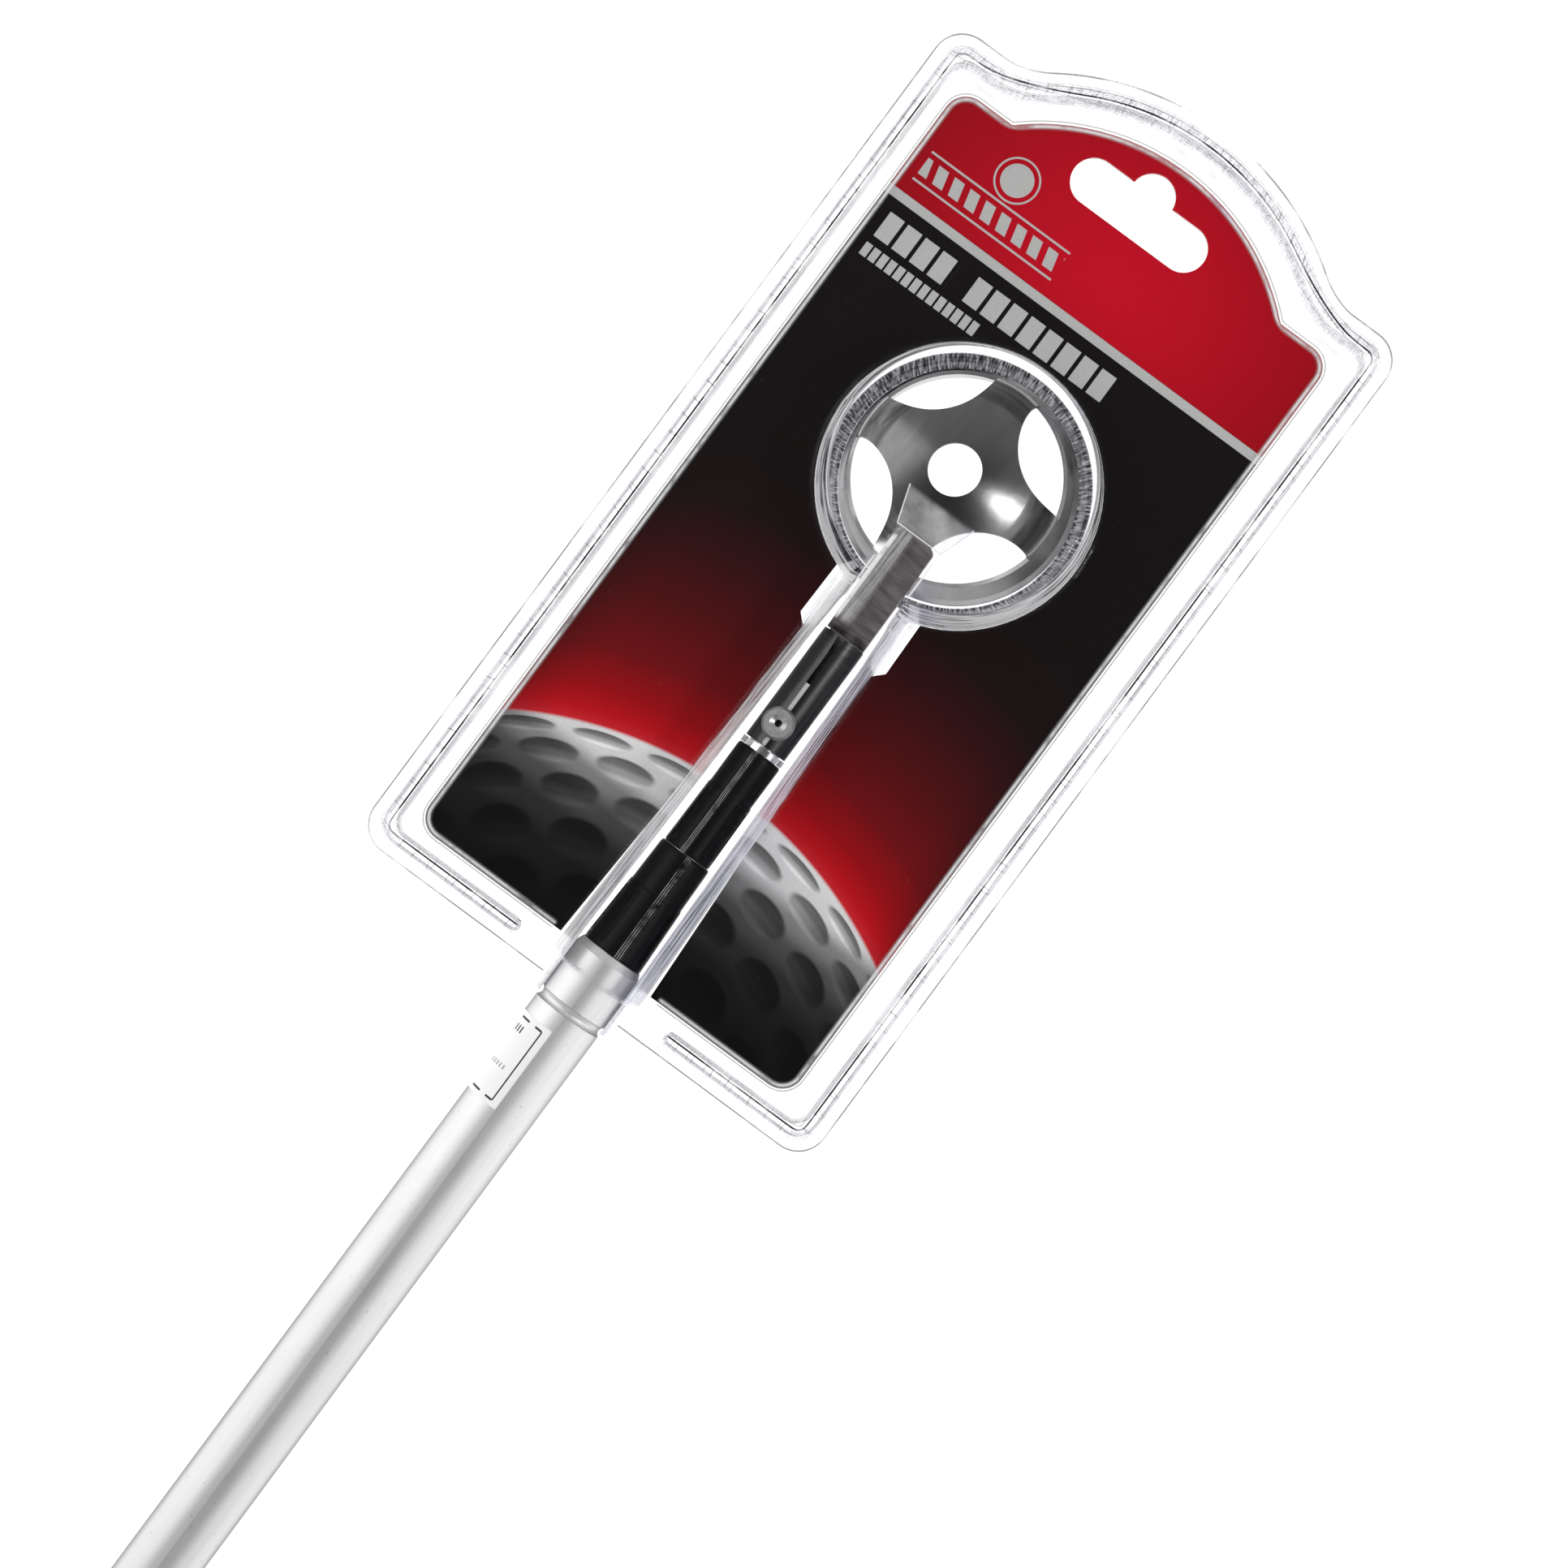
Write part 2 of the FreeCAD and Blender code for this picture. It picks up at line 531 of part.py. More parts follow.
def front_blister():
    """Front shell: flange, perimeter bead, raised panel, cup pocket, tunnel, nose and collar."""
    foot = FRONT_FOOT
    below = foot - CUT
    bead_top = foot + BEAD_HEIGHT
    panel = foot + PANEL_RAISE
    first, last = BEAD_INSET
    cup_centre = V(0, CUP_AT, foot)
    depth = POCKET_ROOF - foot
    solid = slab(0, foot, foot + SHEET)
    for piece in (
        bead(first, last, BEAD_GAP_HALF, foot, bead_top),
        slab(PANEL_INSET, foot, panel + SHEET),
        panel_leg(0, 0, foot, panel + SHEET),
        Part.makeCone(POCKET_R[0], POCKET_R[1], depth, cup_centre, Z_AXIS),
        tunnel(TUNNEL, 0, foot),
        tunnel(NOSE, 0, foot),
        collar(COLLAR_R + SHEET, COLLAR_FROM, TUNNEL[0][0] + CUT, foot),
    ):
        solid = solid.fuse(piece)
    hollow = bead(first + SHEET, last - SHEET, BEAD_GAP_HALF + SHEET, below, bead_top - SHEET)
    for piece in (
        slab(PANEL_INSET + SHEET, below, panel),
        panel_leg(SHEET, -CUT, below, panel),
        Part.makeCone(POCKET_R[0] - SHEET, POCKET_R[1] - SHEET, depth - SHEET, cup_centre, Z_AXIS),
        Part.makeCylinder(POCKET_R[0] - SHEET, CUT, V(0, CUP_AT, below), Z_AXIS),
        tunnel(TUNNEL, SHEET, below, SHEET),
        tunnel(NOSE, SHEET, below, SHEET),
        collar(COLLAR_R, COLLAR_FROM - CUT, TUNNEL[0][0] + 2 * CUT, below),
    ):
        hollow = hollow.fuse(piece)
    shell = solid.cut(hollow).cut(hang_slot(below, POCKET_ROOF))
    return shell.removeSplitter()


def back_blister():
    """Back shell: flange, perimeter bead down to the floor, cup pocket and neck recess."""
    top = TRAY_TOP
    first, last = BEAD_INSET
    foot_r, floor_r = TRAY_POCKET_R
    start = NECK_CUT_FROM + TRAY_RECESS_GAP
    length = CUP_AT - foot_r + TRAY_RECESS_LAP - start
    half = NECK_CUT_HALF[0] - TRAY_RECESS_GAP
    low = top - TRAY_RECESS
    solid = slab(0, top - SHEET, top)
    solid = solid.fuse(bead(first, last, BEAD_GAP_HALF, 0, top))
    solid = solid.fuse(Part.makeCone(floor_r, foot_r, top, V(0, CUP_AT, 0), Z_AXIS))
    solid = solid.fuse(Part.makeBox(2 * half, length, TRAY_RECESS, V(-half, start, low)))
    hollow = bead(first + SHEET, last - SHEET, BEAD_GAP_HALF + SHEET, SHEET, top + CUT)
    pocket = Part.makeCone(floor_r - SHEET, foot_r - SHEET, top, V(0, CUP_AT, SHEET), Z_AXIS)
    corner = V(-half + SHEET, start + SHEET, low + SHEET)
    hollow = hollow.fuse(pocket).fuse(Part.makeBox(2 * (half - SHEET), length, TRAY_RECESS, corner))
    shell = solid.cut(hollow).cut(hang_slot(-CUT, top + CUT))
    return shell.removeSplitter()


def card():
    """Printed card with its hook slot, the round cut for the cup and the cut for the neck and pole."""
    sheet = arched_slab(
        CARD_HALF, CARD_BOTTOM, CARD_SHOULDER, CARD_TOP, CARD_ARCH_R,
        TRAY_TOP, TRAY_TOP + CARD_THICK, CARD_CORNER, CARD_ARCH_FILLET,
    )
    sheet.translate(V(CARD_X, 0, 0))
    low = TRAY_TOP - CUT
    depth = CARD_THICK + 2 * CUT
    sheet = sheet.cut(Part.makeCylinder(CARD_HOLE_R, depth, V(0, CUP_AT, low), Z_AXIS))
    upper, lower = NECK_CUT_HALF
    side = [
        (upper, CUP_AT), (lower, NECK_CUT_FROM + NECK_CUT_CHAMFER),
        (lower - NECK_CUT_CHAMFER, NECK_CUT_FROM), (POLE_CUT_HALF, CARD_BOTTOM - CUT),
    ]
    neck = [V(x, s, low) for x, s in side] + [V(-x, s, low) for x, s in reversed(side)]
    sheet = sheet.cut(face_of(neck).extrude(V(0, 0, depth)))
    return sheet.cut(hang_slot(low, low + depth))


def build_handle():
    save("outer_tube", outer_tube())
    save("outer_bush", outer_bush())
    save("end_plug", end_plug())
    save("grip", grip())
    save("butt_cap", butt_cap())
    save("tube_label", tube_label())


def build_sections():
    outer_bore = OUTER_R - OUTER_WALL
    second_foot = FACE_GAP
    third_foot = second_foot + FERRULE_LENGTH + FACE_GAP
    second_top = second_foot + FERRULE_SEAT
    third_top = third_foot + FERRULE_SEAT
    second_bore = sliding_section("second", SECOND_R, outer_bore, OUTER_BUSH_END, second_top)
    save("second_ferrule", ferrule(second_foot, SECOND_R, SECOND_FERRULE_R, THIRD_R + RUN))
    save("second_bush", pipe(SECOND_BUSH_END, second_top, second_bore, THIRD_R + RUN))
    third_bore = sliding_section("third", THIRD_R, second_bore, SECOND_BUSH_END, third_top)
    save("third_ferrule", ferrule(third_foot, THIRD_R, THIRD_FERRULE_R, INNER_R + RUN))
    save("third_bush", pipe(THIRD_BUSH_END, third_top, third_bore, INNER_R + RUN))
    bottom = THIRD_BUSH_END - TRAVEL - END_PLAY
    save("inner_tube", inner_tube(bottom))
    save("inner_slider", slider(bottom, INNER_R - THIN_WALL, third_bore))
    save("inner_slider_ring", slider_ring(bottom, third_bore))
    neck = third_foot + FERRULE_LENGTH + FACE_GAP
    save("neck_ring", pipe(neck, neck + NECK_RING_LENGTH, NECK_RING_R, INNER_R))


def build_head():
    save("neck_plug", neck_plug())
    save("neck_sleeve", neck_sleeve())
    save("neck_rivet", neck_rivet())
    save("strap", strap())
    save("cup", cup())


def build_pack():
    save("front_blister", front_blister())
    save("back_blister", back_blister())
    save("card", card())


os.makedirs("parts", exist_ok=True)
build_handle()
build_sections()
build_head()
build_pack()
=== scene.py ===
import math

import bpy
import numpy as np
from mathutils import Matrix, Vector


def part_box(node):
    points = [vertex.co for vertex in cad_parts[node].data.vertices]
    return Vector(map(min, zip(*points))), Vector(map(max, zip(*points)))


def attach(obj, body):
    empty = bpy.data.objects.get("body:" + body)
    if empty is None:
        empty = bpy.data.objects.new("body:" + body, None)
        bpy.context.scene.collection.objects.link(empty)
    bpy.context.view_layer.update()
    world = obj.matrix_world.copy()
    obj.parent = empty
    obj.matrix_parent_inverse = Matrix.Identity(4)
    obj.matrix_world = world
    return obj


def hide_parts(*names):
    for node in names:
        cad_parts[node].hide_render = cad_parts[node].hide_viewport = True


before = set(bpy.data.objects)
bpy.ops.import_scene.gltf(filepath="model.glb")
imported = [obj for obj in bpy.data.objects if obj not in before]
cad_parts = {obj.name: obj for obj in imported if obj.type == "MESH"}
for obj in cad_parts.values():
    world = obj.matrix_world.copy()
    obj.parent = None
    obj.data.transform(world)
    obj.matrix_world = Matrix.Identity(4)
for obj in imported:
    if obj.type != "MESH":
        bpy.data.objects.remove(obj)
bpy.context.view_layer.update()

# Lengths below are in millimetres. A station is a length along the pole: 0 is the mouth of the
# outer tube and positive stations are nearer the ball cup. A bearing is an angle about the pole
# in degrees: 90 is on top.
MM = 0.001
MOUTH_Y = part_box("outer_tube")[1].y
AXIS_Z = 14.0
CUP_AT = 116.0

# Clear shells: heights are above the surface that the pack lies on, insets are from its outline,
# and a bead or a slope has the insets or radii of both its edges
SHEET = 0.45
FLANGE_TOP = 6.15
TRAY_TOP = 5.6
PACK_HALF = 56.1
PACK_BOTTOM = -11.5
SHOULDER = 190.7
PACK_TOP = 204.6
ARCH_R = 60.0
PACK_CORNER = 6.5
PACK_FILLET = 12.0
BEAD = (2.5, 5.4)
BEAD_GAP = 18.2
BEAD_TOP = 8.7
PANEL_INSET = 8.0
PANEL_TOP = 6.75
LEG_HALF = 16.4
COLLAR_R = 8.35
COLLAR_FROM = -13.8
COLLAR_TO = -5.0
POCKET_FOOT_R = 29.2
POCKET_ROOF_R = 26.4
POCKET_ROOF = 23.5
TRAY_POCKET_TOP_R = 26.25
TRAY_POCKET_FLOOR_R = 24.45
RECESS_HALF = 8.75
RECESS = (75.2, 96.0)
RECESS_DEPTH = 3.0
SLOT = (-3.3, 181.1)
SLOT_HALF_LENGTH = 16.0
SLOT_HALF_WIDTH = 4.85
BUMP_R = 4.7
BUMP_AT = 185.6

# Tunnel over the pole and nose over the strap: station, foot half width, roof half width, height
TUNNEL = ((-6.0, 10.9, 7.6, 23.2), (74.0, 8.9, 6.2, 22.2), (84.0, 8.5, 5.6, 22.6))
NOSE = ((80.0, 8.4, 5.4, 22.4), (102.0, 8.2, 5.2, 25.2), (108.5, 8.2, 5.2, 23.2))
TUNNEL_SIDE = 13.0

# Meshing of the shells: grid step, and the box in which each surface is sought
NET_STEP = 0.86
FRONT_GRID = ((-57.6, -16.4, 4.3), (57.6, 206.0, 27.0))
BACK_GRID = ((-57.6, -13.2, -1.0), (57.6, 206.0, 6.8))

# Marks in the sheet: painted shade lines at the folds round the bead as inset, half width and darkness,
# draw marks across it from the corner of the long side, and the nose's crease with the flare beyond it,
# which carry painted glare
FRONT_FOLDS = ((2.45, 0.10, 0.35), (3.3, 0.09, 0.5), (4.6, 0.17, 1.0), (5.45, 0.10, 0.45))
BACK_FOLDS = ((5.3, 0.14, 0.35),)
BEAD_CORNER = 48.0
MARK_PITCH = 4.4
NOSE_FOLD = 101.3
NOSE_LENGTH = 7.3
NOSE_HALF = 5.2
NOSE_FLARE = 0.33

# What the sheet lets through, from face on (0) to edge on (1)
SHEET_TINT = (
    (0.0, 0.998, 0.998, 0.998), (0.55, 0.98, 0.98, 0.985), (0.84, 0.86, 0.86, 0.89),
    (0.95, 0.45, 0.45, 0.48), (1.0, 0.22, 0.22, 0.24),
)

# Card and its print
CARD_X = -1.0
CARD = {
    "half": 46.3, "bottom": -2.9, "shoulder": 180.6, "top": 193.7, "arch_r": 49.2,
    "corner": 4.8, "fillet": 0.6,
}
SILVER_LINE = (154.9, 156.85)
PRINT_SOFT = 0.06
# Silver shapes as lowest and highest X, then lowest and highest station
TITLE_BARS = (-43.7, 12.8, 146.3, 152.2)
SMALL_BARS = (-44.0, -15.8, 141.7, 144.6)
SLANTED_BARS = (-44.0, -10.0, 161.6, 165.4)
LOW_RULE = (-44.2, -9.8, 160.0, 160.45)
HIGH_RULE = (-44.2, -9.8, 166.5, 166.95)
WORD_GAP = (-26.1, -21.8)
DISC_AT = (-27.0, 172.2)
DISC_R = 3.5
DISC_RING = (4.4, 4.8)
# The printed ball: its dimples' pitch, and the rim left plain beyond them, in radians
BALL_AT = (0.8, -48.4)
BALL_R = 88.6
BALL_RIM = 0.15
DIMPLE_PITCH = 0.168

# Label: stations of its printed frame, the bearing that its print is counted from, and, in
# degrees from there, the frame's line, its two corners, and the bars' right and left ends
LABEL_FRAME = (-36.4, -19.9)
PRINT_BEARING = 94.0
FRAME_LINE = (9.0, 11.4)
FRAME_CORNERS = ((11.0, 24.0), (37.0, 60.0))
TOP_ROW = (37.0, 62.0)
LOW_ROW = (24.0, 62.0)

# Sleeve: its seam, and the stations over which its scuffed end begins
SEAM_BEARING = 99.0
SEAM_HALF = 5.0
SCUFF_RISE = (69.0, 73.0)

# Cup: radius of the dome its polish suggests, the dome's sideways lean, where its rounded
# shoulder begins and how steeply it falls, and the radii over which a painted highlight band brightens it
DOME_R = 60.0
DOME_LEAN = -0.20
DOME_FLAT = 14.5
DOME_FALL = 0.45
LIT_BAND_RISE = (17.5, 20.5)

# Ferrules: fluted length, drop of the step above it, depth of the tube's seat, and the flutes
FLUTED = 14.5
STEP_DROP = 0.18
SEAT = 18.0
FLUTES = 8
FLUTE_DEPTH = 0.32
FLUTE_HALF = 0.75
# Fine ribs painted light as a highlight in one flute: their pitch and half their spread, in degrees
RIB_PITCH = 4.4
RIBBED = 7.0

# Grip: radius on which its weave is laid out
WEAVE_R = 11.0

# Stage, in metres
FLOOR_HALF = 3.0
FLOOR_CELLS = 8
FLOOR_DROP = 0.0002
PACK_MIDDLE = (0.0, 0.33, 0.0)


# --- Node graphs ------------------------------------------------------------------------------
class Graph:
    """Builds a node tree with one call per node."""

    def __init__(self, tree):
        self.tree = tree

    def node(self, kind, inputs=None, **settings):
        made = self.tree.nodes.new("ShaderNode" + kind)
        for name, value in settings.items():
            setattr(made, name, value)
        for key, value in (inputs or {}).items():
            if isinstance(value, bpy.types.NodeSocket):
                self.tree.links.new(value, made.inputs[key])
            else:
                made.inputs[key].default_value = value
        return made

    def math(self, operation, *values, clamp=False):
        made = self.node("Math", dict(enumerate(values)), operation=operation, use_clamp=clamp)
        return made.outputs[0]

    def times(self, first, *others):
        """Product of two or more values."""
        for other in others:
            first = self.math("MULTIPLY", first, other)
        return first

    def most(self, first, *others):
        """Greatest of two or more values."""
        for other in others:
            first = self.math("MAXIMUM", first, other)
        return first

    def hypot(self, a, b):
        squares = self.math("ADD", self.math("POWER", a, 2.0), self.math("POWER", b, 2.0))
        return self.math("SQRT", squares)

    def rise(self, value, low, high):
        """0 below low, 1 above high, smooth between; low may be above high for a fall."""
        inputs = {"Value": value, "From Min": low, "From Max": high}
        return self.node("MapRange", inputs, interpolation_type="SMOOTHSTEP").outputs[0]

    def between(self, value, low, high, soft):
        """1 between low and high and 0 outside, each edge spread by soft to both sides."""
        up = self.rise(value, low - soft, low + soft)
        return self.times(up, self.rise(value, high + soft, high - soft))

    def bars(self, value, pitch, share):
        """1 over the first share of every pitch along a value, 0 over the rest."""
        return self.math("LESS_THAN", self.math("FRACT", self.math("DIVIDE", value, pitch)), share)

    def ramp(self, factor, stops, interpolation="LINEAR"):
        """Colour ramp; a stop is a position and either a grey or a red, green and blue."""
        made = self.node("ValToRGB", {0: factor})
        made.color_ramp.interpolation = interpolation
        elements = made.color_ramp.elements
        while len(elements) < len(stops):
            elements.new(1.0)
        for element, (position, *colour) in zip(elements, stops):
            element.position = position
            element.color = (*colour, 1) if len(colour) == 3 else grey(*colour)
        return made.outputs[0]

    def mix(self, factor, a, b, blend="MIX"):
        made = self.node("Mix", {0: factor, 6: a, 7: b}, data_type="RGBA", blend_type=blend)
        return made.outputs[2]

    def noise(self, vector, scale, detail=2.0, roughness=0.5):
        inputs = {"Vector": vector, "Scale": scale, "Detail": detail, "Roughness": roughness}
        return self.node("TexNoise", inputs).outputs[0]

    def stretched(self, vector, x, y, z):
        return self.node("Mapping", {"Vector": vector, "Scale": (x, y, z)}).outputs[0]

    def ringed(self, radius, turn, outward, around):
        """Noise coordinates that follow rings about the cup, scaled outward and around."""
        parts = {0: self.times(radius, outward), 1: self.times(turn, around), 2: 0.0}
        return self.node("CombineXYZ", parts).outputs[0]

    def bump(self, height, strength, distance):
        inputs = {"Height": height, "Strength": strength, "Distance": distance}
        return self.node("Bump", inputs).outputs[0]

    def millimetres(self, coords):
        """X, station and Z of a point, in millimetres."""
        split = self.node("SeparateXYZ", {0: coords})
        x, y, z = (self.times(s, 1 / MM) for s in split.outputs)
        return x, self.math("SUBTRACT", y, MOUTH_Y / MM), z

    def angle(self, x, z):
        """Angle about the pole's axis in radians, from +X towards +Z."""
        return self.math("ARCTAN2", self.math("SUBTRACT", z, AXIS_Z), x)

    def bearing(self, x, z):
        """The same angle in degrees: 90 is the top of the pole."""
        return self.math("DEGREES", self.angle(x, z))


def material(name):
    made = bpy.data.materials.new(name)
    made.use_nodes = True
    graph = Graph(made.node_tree)
    coords = graph.node("TexCoord").outputs["Object"]
    return made, graph, made.node_tree.nodes["Principled BSDF"], coords


def wire(graph, shader, **values):
    """Sets or links inputs of a shader by name, with underscores for spaces."""
    for name, value in values.items():
        socket = shader.inputs[name.replace("_", " ")]
        if isinstance(value, bpy.types.NodeSocket):
            graph.tree.links.new(value, socket)
        else:
            socket.default_value = value


def grey(value):
    return (value, value, value, 1)


# --- Materials --------------------------------------------------------------------------------
def brushed_metal(name, light, dark, roughness, grain, along, strength=0.12, wear=0.0, edge=1.0):
    """Metal with a drawn or brushed grain; edge is how bright its colour and edge tint stay where it turns
    away, a painted shade at its edges.
    """
    made, g, shader, coords = material(name)
    fine = g.noise(g.stretched(coords, *along), grain, 3.0, 0.6)
    cloud = g.noise(coords, 60.0, 3.0)
    tone = g.mix(g.rise(fine, 0.25, 0.75), dark, light)
    spots = g.rise(g.noise(coords, 900.0, 2.0), 0.68, 0.74)
    tone = g.mix(g.times(spots, wear), tone, grey(0.25))
    facing = g.node("LayerWeight", {"Blend": 0.5}).outputs["Facing"]
    # painted shade: the colour darkens where the surface turns away from view, down to edge
    painted_edge_shade = g.mix(g.rise(facing, 0.45, 0.97), grey(1.0), grey(edge))
    tone = g.mix(1.0, tone, painted_edge_shade, "MULTIPLY")
    rough = g.math("MULTIPLY_ADD", g.math("SUBTRACT", cloud, 0.5), 0.12, roughness)
    rough = g.math("MULTIPLY_ADD", g.math("SUBTRACT", fine, 0.5), 0.12, rough)
    wire(g, shader, Base_Color=tone, Metallic=1.0, Roughness=rough, Specular_Tint=grey(edge),
         Normal=g.bump(fine, strength, 0.00004))
    return made


def rolled_sleeve():
    """Blackened sheet rolled into a tube, scuffed at its end and rubbed bright along its seam."""
    made, g, shader, coords = material("dark_sleeve")
    x, station, z = g.millimetres(coords)
    drawn_grain = g.noise(g.stretched(coords, 1, 0.04, 1), 420.0, 3.0, 0.6)
    tone = g.mix(g.rise(drawn_grain, 0.25, 0.75), grey(0.042), grey(0.070))
    cross = g.noise(g.stretched(coords, 0.1, 1, 0.1), 1600.0, 2.0, 0.6)
    scuffed = g.times(g.rise(station, *SCUFF_RISE), g.rise(cross, 0.52, 0.66), 0.5)
    tone = g.mix(scuffed, tone, grey(0.10))
    on_seam = g.between(g.bearing(x, z), SEAM_BEARING - SEAM_HALF, SEAM_BEARING + SEAM_HALF, 1.0)
    specks = g.rise(g.noise(g.stretched(coords, 1, 0.5, 1), 1100.0, 2.0), 0.38, 0.50)
    rubbed = g.times(on_seam, specks)
    tone = g.mix(g.times(rubbed, 0.7), tone, grey(0.50))
    wire(g, shader, Base_Color=tone, Metallic=g.math("SUBTRACT", 1.0, rubbed), Roughness=0.32,
         Normal=g.bump(drawn_grain, 0.25, 0.00004))
    return made


def polished_cup():
    """Buffed steel pressed slightly domed, with fine wipe marks and a painted highlight band near its rim,
    brightest towards the pole.
    """
    made, g, shader, coords = material("cup_steel")
    x, station, _ = g.millimetres(coords)
    away = g.math("SUBTRACT", station, CUP_AT)
    radius = g.hypot(x, away)
    level = g.math("DIVIDE", g.math("MINIMUM", radius, DOME_FLAT), DOME_R)
    level = g.math("SQRT", g.math("SUBTRACT", 1.0, g.times(level, level)))
    outer = g.most(g.math("SUBTRACT", radius, DOME_FLAT), 0.0)
    dome = g.math("SUBTRACT", g.times(level, DOME_R), g.times(outer, DOME_FALL))
    dome = g.math("MULTIPLY_ADD", x, DOME_LEAN, dome)
    wipe = g.noise(g.stretched(coords, 1, 0.2, 1), 500.0, 3.0, 0.6)
    cloud = g.noise(coords, 90.0, 3.0, 0.6)
    height = g.math("MULTIPLY_ADD", cloud, 0.015, g.math("MULTIPLY_ADD", wipe, 0.001, dome))
    rough = g.math("MULTIPLY_ADD", g.math("SUBTRACT", cloud, 0.5), 0.16, 0.22)
    tone = g.mix(wipe, grey(0.12), grey(0.19))
    # painted highlight: the band near the rim is painted light grey, strongest on the side towards the pole
    painted_light_toward_pole = g.math("MULTIPLY_ADD", g.rise(away, -4.0, -16.0), 0.65, 0.35)
    tone = g.mix(g.times(g.rise(radius, *LIT_BAND_RISE), painted_light_toward_pole), tone, grey(0.95))
    wire(g, shader, Base_Color=tone, Metallic=1.0, Roughness=rough,
         Normal=g.bump(height, 1.0, MM))
    return made


def moulded_plastic(name, colour, roughness, shine=0.5, ribs=None):
    """Injection-moulded plastic: faint flow marks and fine handling scratches.

    ribs is the bearing, in degrees, of a flute whose fine ribs carry a painted highlight.
    """
    made, g, shader, coords = material(name)
    flow = g.noise(g.stretched(coords, 1, 0.3, 1), 220.0, 3.0)
    scratch = g.noise(g.stretched(coords, 30, 1.5, 30), 90.0, 4.0, 0.7)
    lit = tuple(min(1.0, c * 1.6 + 0.01) for c in colour)
    tone = g.mix(g.times(g.rise(scratch, 0.62, 0.75), 0.35), (*colour, 1), (*lit, 1))
    if ribs:
        x, _, z = g.millimetres(coords)
        off = g.math("SUBTRACT", g.bearing(x, z), ribs)
        # painted highlight: light grey lines along one flute's ribs, broken up in patches
        patchy = g.rise(g.noise(coords, 320.0, 3.0, 0.6), 0.30, 0.58)
        rib_glint = g.times(g.bars(off, RIB_PITCH, 0.42), g.between(off, -RIBBED, RIBBED, 0.6), patchy)
        tone = g.mix(rib_glint, tone, grey(0.30))
    rough = g.math("MULTIPLY_ADD", g.math("SUBTRACT", flow, 0.5), 0.14, roughness)
    wire(g, shader, Base_Color=tone, Roughness=rough, Specular_IOR_Level=shine,
         Normal=g.bump(flow, 0.12, 0.00008))
    return made


def rubber(name):
    """Dark rubber with a fine diamond texture and a dusty bloom."""
    made, g, shader, coords = material(name)
    x, station, z = g.millimetres(coords)
    around = g.times(g.angle(x, z), WEAVE_R)
    lines = []
    for sign in (1.0, -1.0):
        phase = g.math("MULTIPLY_ADD", station, 2.4 * sign, g.times(around, 2.0))
        lines.append(g.math("ABSOLUTE", g.math("SINE", phase)))
    weave = g.times(*lines)
    dust = g.noise(coords, 150.0, 4.0, 0.6)
    tone = g.mix(g.rise(weave, 0.0, 0.5), (0.011, 0.011, 0.012, 1), (0.035, 0.035, 0.036, 1))
    tone = g.mix(g.times(g.rise(dust, 0.5, 0.8), 0.35), tone, grey(0.07))
    wire(g, shader, Base_Color=tone, Roughness=0.72, Normal=g.bump(weave, 0.9, 0.0003))
    return made


def painted_bend_shade(g, coords, x, station, folds):
    """Painted shade: dark lines where the sheet turns round the perimeter bead and along its cut edge, with
    draw marks across it.
    """
    inset = g.node("Attribute", attribute_name="inset").outputs["Fac"]
    side = g.math("ABSOLUTE", x)
    total = 0.0
    for place, half, strength in folds:
        line = g.between(inset, place - half, place + half, 0.07)
        total = g.math("MULTIPLY_ADD", line, strength, total)
    on_bead = g.most(g.rise(side, BEAD_GAP, BEAD_GAP + 1.0), g.rise(station, 2.0, 4.0))
    off_collar = g.rise(side, COLLAR_R + 0.6, COLLAR_R + 1.2)
    rim = g.times(g.between(inset, -0.3, 0.26, 0.07), off_collar)
    total = g.math("MULTIPLY_ADD", rim, 0.3, g.times(total, on_bead))
    patchy = g.rise(g.noise(coords, 110.0, 3.0, 0.6), 0.36, 0.56)
    total = g.times(total, g.math("MULTIPLY_ADD", patchy, 0.65, 0.35))
    on_long_side = g.rise(side, BEAD_CORNER, BEAD_CORNER + 0.2)
    along = g.node("Mix", {0: on_long_side, 2: x, 3: station}).outputs[0]
    uneven = g.times(g.noise(coords, 40.0, 1.0), 3.0 * MARK_PITCH)
    mark = g.bars(g.math("ADD", uneven, along), MARK_PITCH, 0.045)
    mark = g.times(mark, on_bead, g.between(inset, 2.6, 4.6, 0.1))
    return g.math("MULTIPLY_ADD", mark, 0.25, total, clamp=True)


def draw_streaks(g, coords, radius, turn):
    """Streaks along the pole, and the same turned to run round the cup over its pocket, which pattern the
    painted glare and shade on the sheet.
    """
    lengthwise = g.noise(g.stretched(coords, 1.0, 0.012, 0.5), 1700.0, 3.0, 0.7)
    circular = g.noise(g.ringed(radius, turn, MM, 0.0006), 1500.0, 3.0, 0.65)
    return lengthwise, g.mix(g.rise(radius, POCKET_FOOT_R + 1.8, POCKET_FOOT_R + 0.3), lengthwise, circular)


def painted_card_step(g, cloud, side, station):
    """The panel's step over the card's edge: a painted highlight line along it and painted shade on its
    ledge.
    """
    edge = g.node("Attribute", attribute_name="card_edge").outputs["Fac"]
    line = g.times(g.between(edge, 0.45, 0.95, 0.12), g.rise(cloud, 0.30, 0.55))
    soft_line = g.times(g.between(edge, -0.15, 1.2, 0.3), 0.14)
    ledge_shade = g.between(edge, -0.55, -0.3, 0.1)
    beside = g.rise(side, TUNNEL_SIDE - 0.5, TUNNEL_SIDE + 0.5)
    clear_of_pole = g.most(beside, g.rise(station, 60.0, 61.0))
    step = g.times(g.math("MULTIPLY_ADD", line, 0.5, soft_line), clear_of_pole)
    return step, g.times(ledge_shade, clear_of_pole, 0.4)


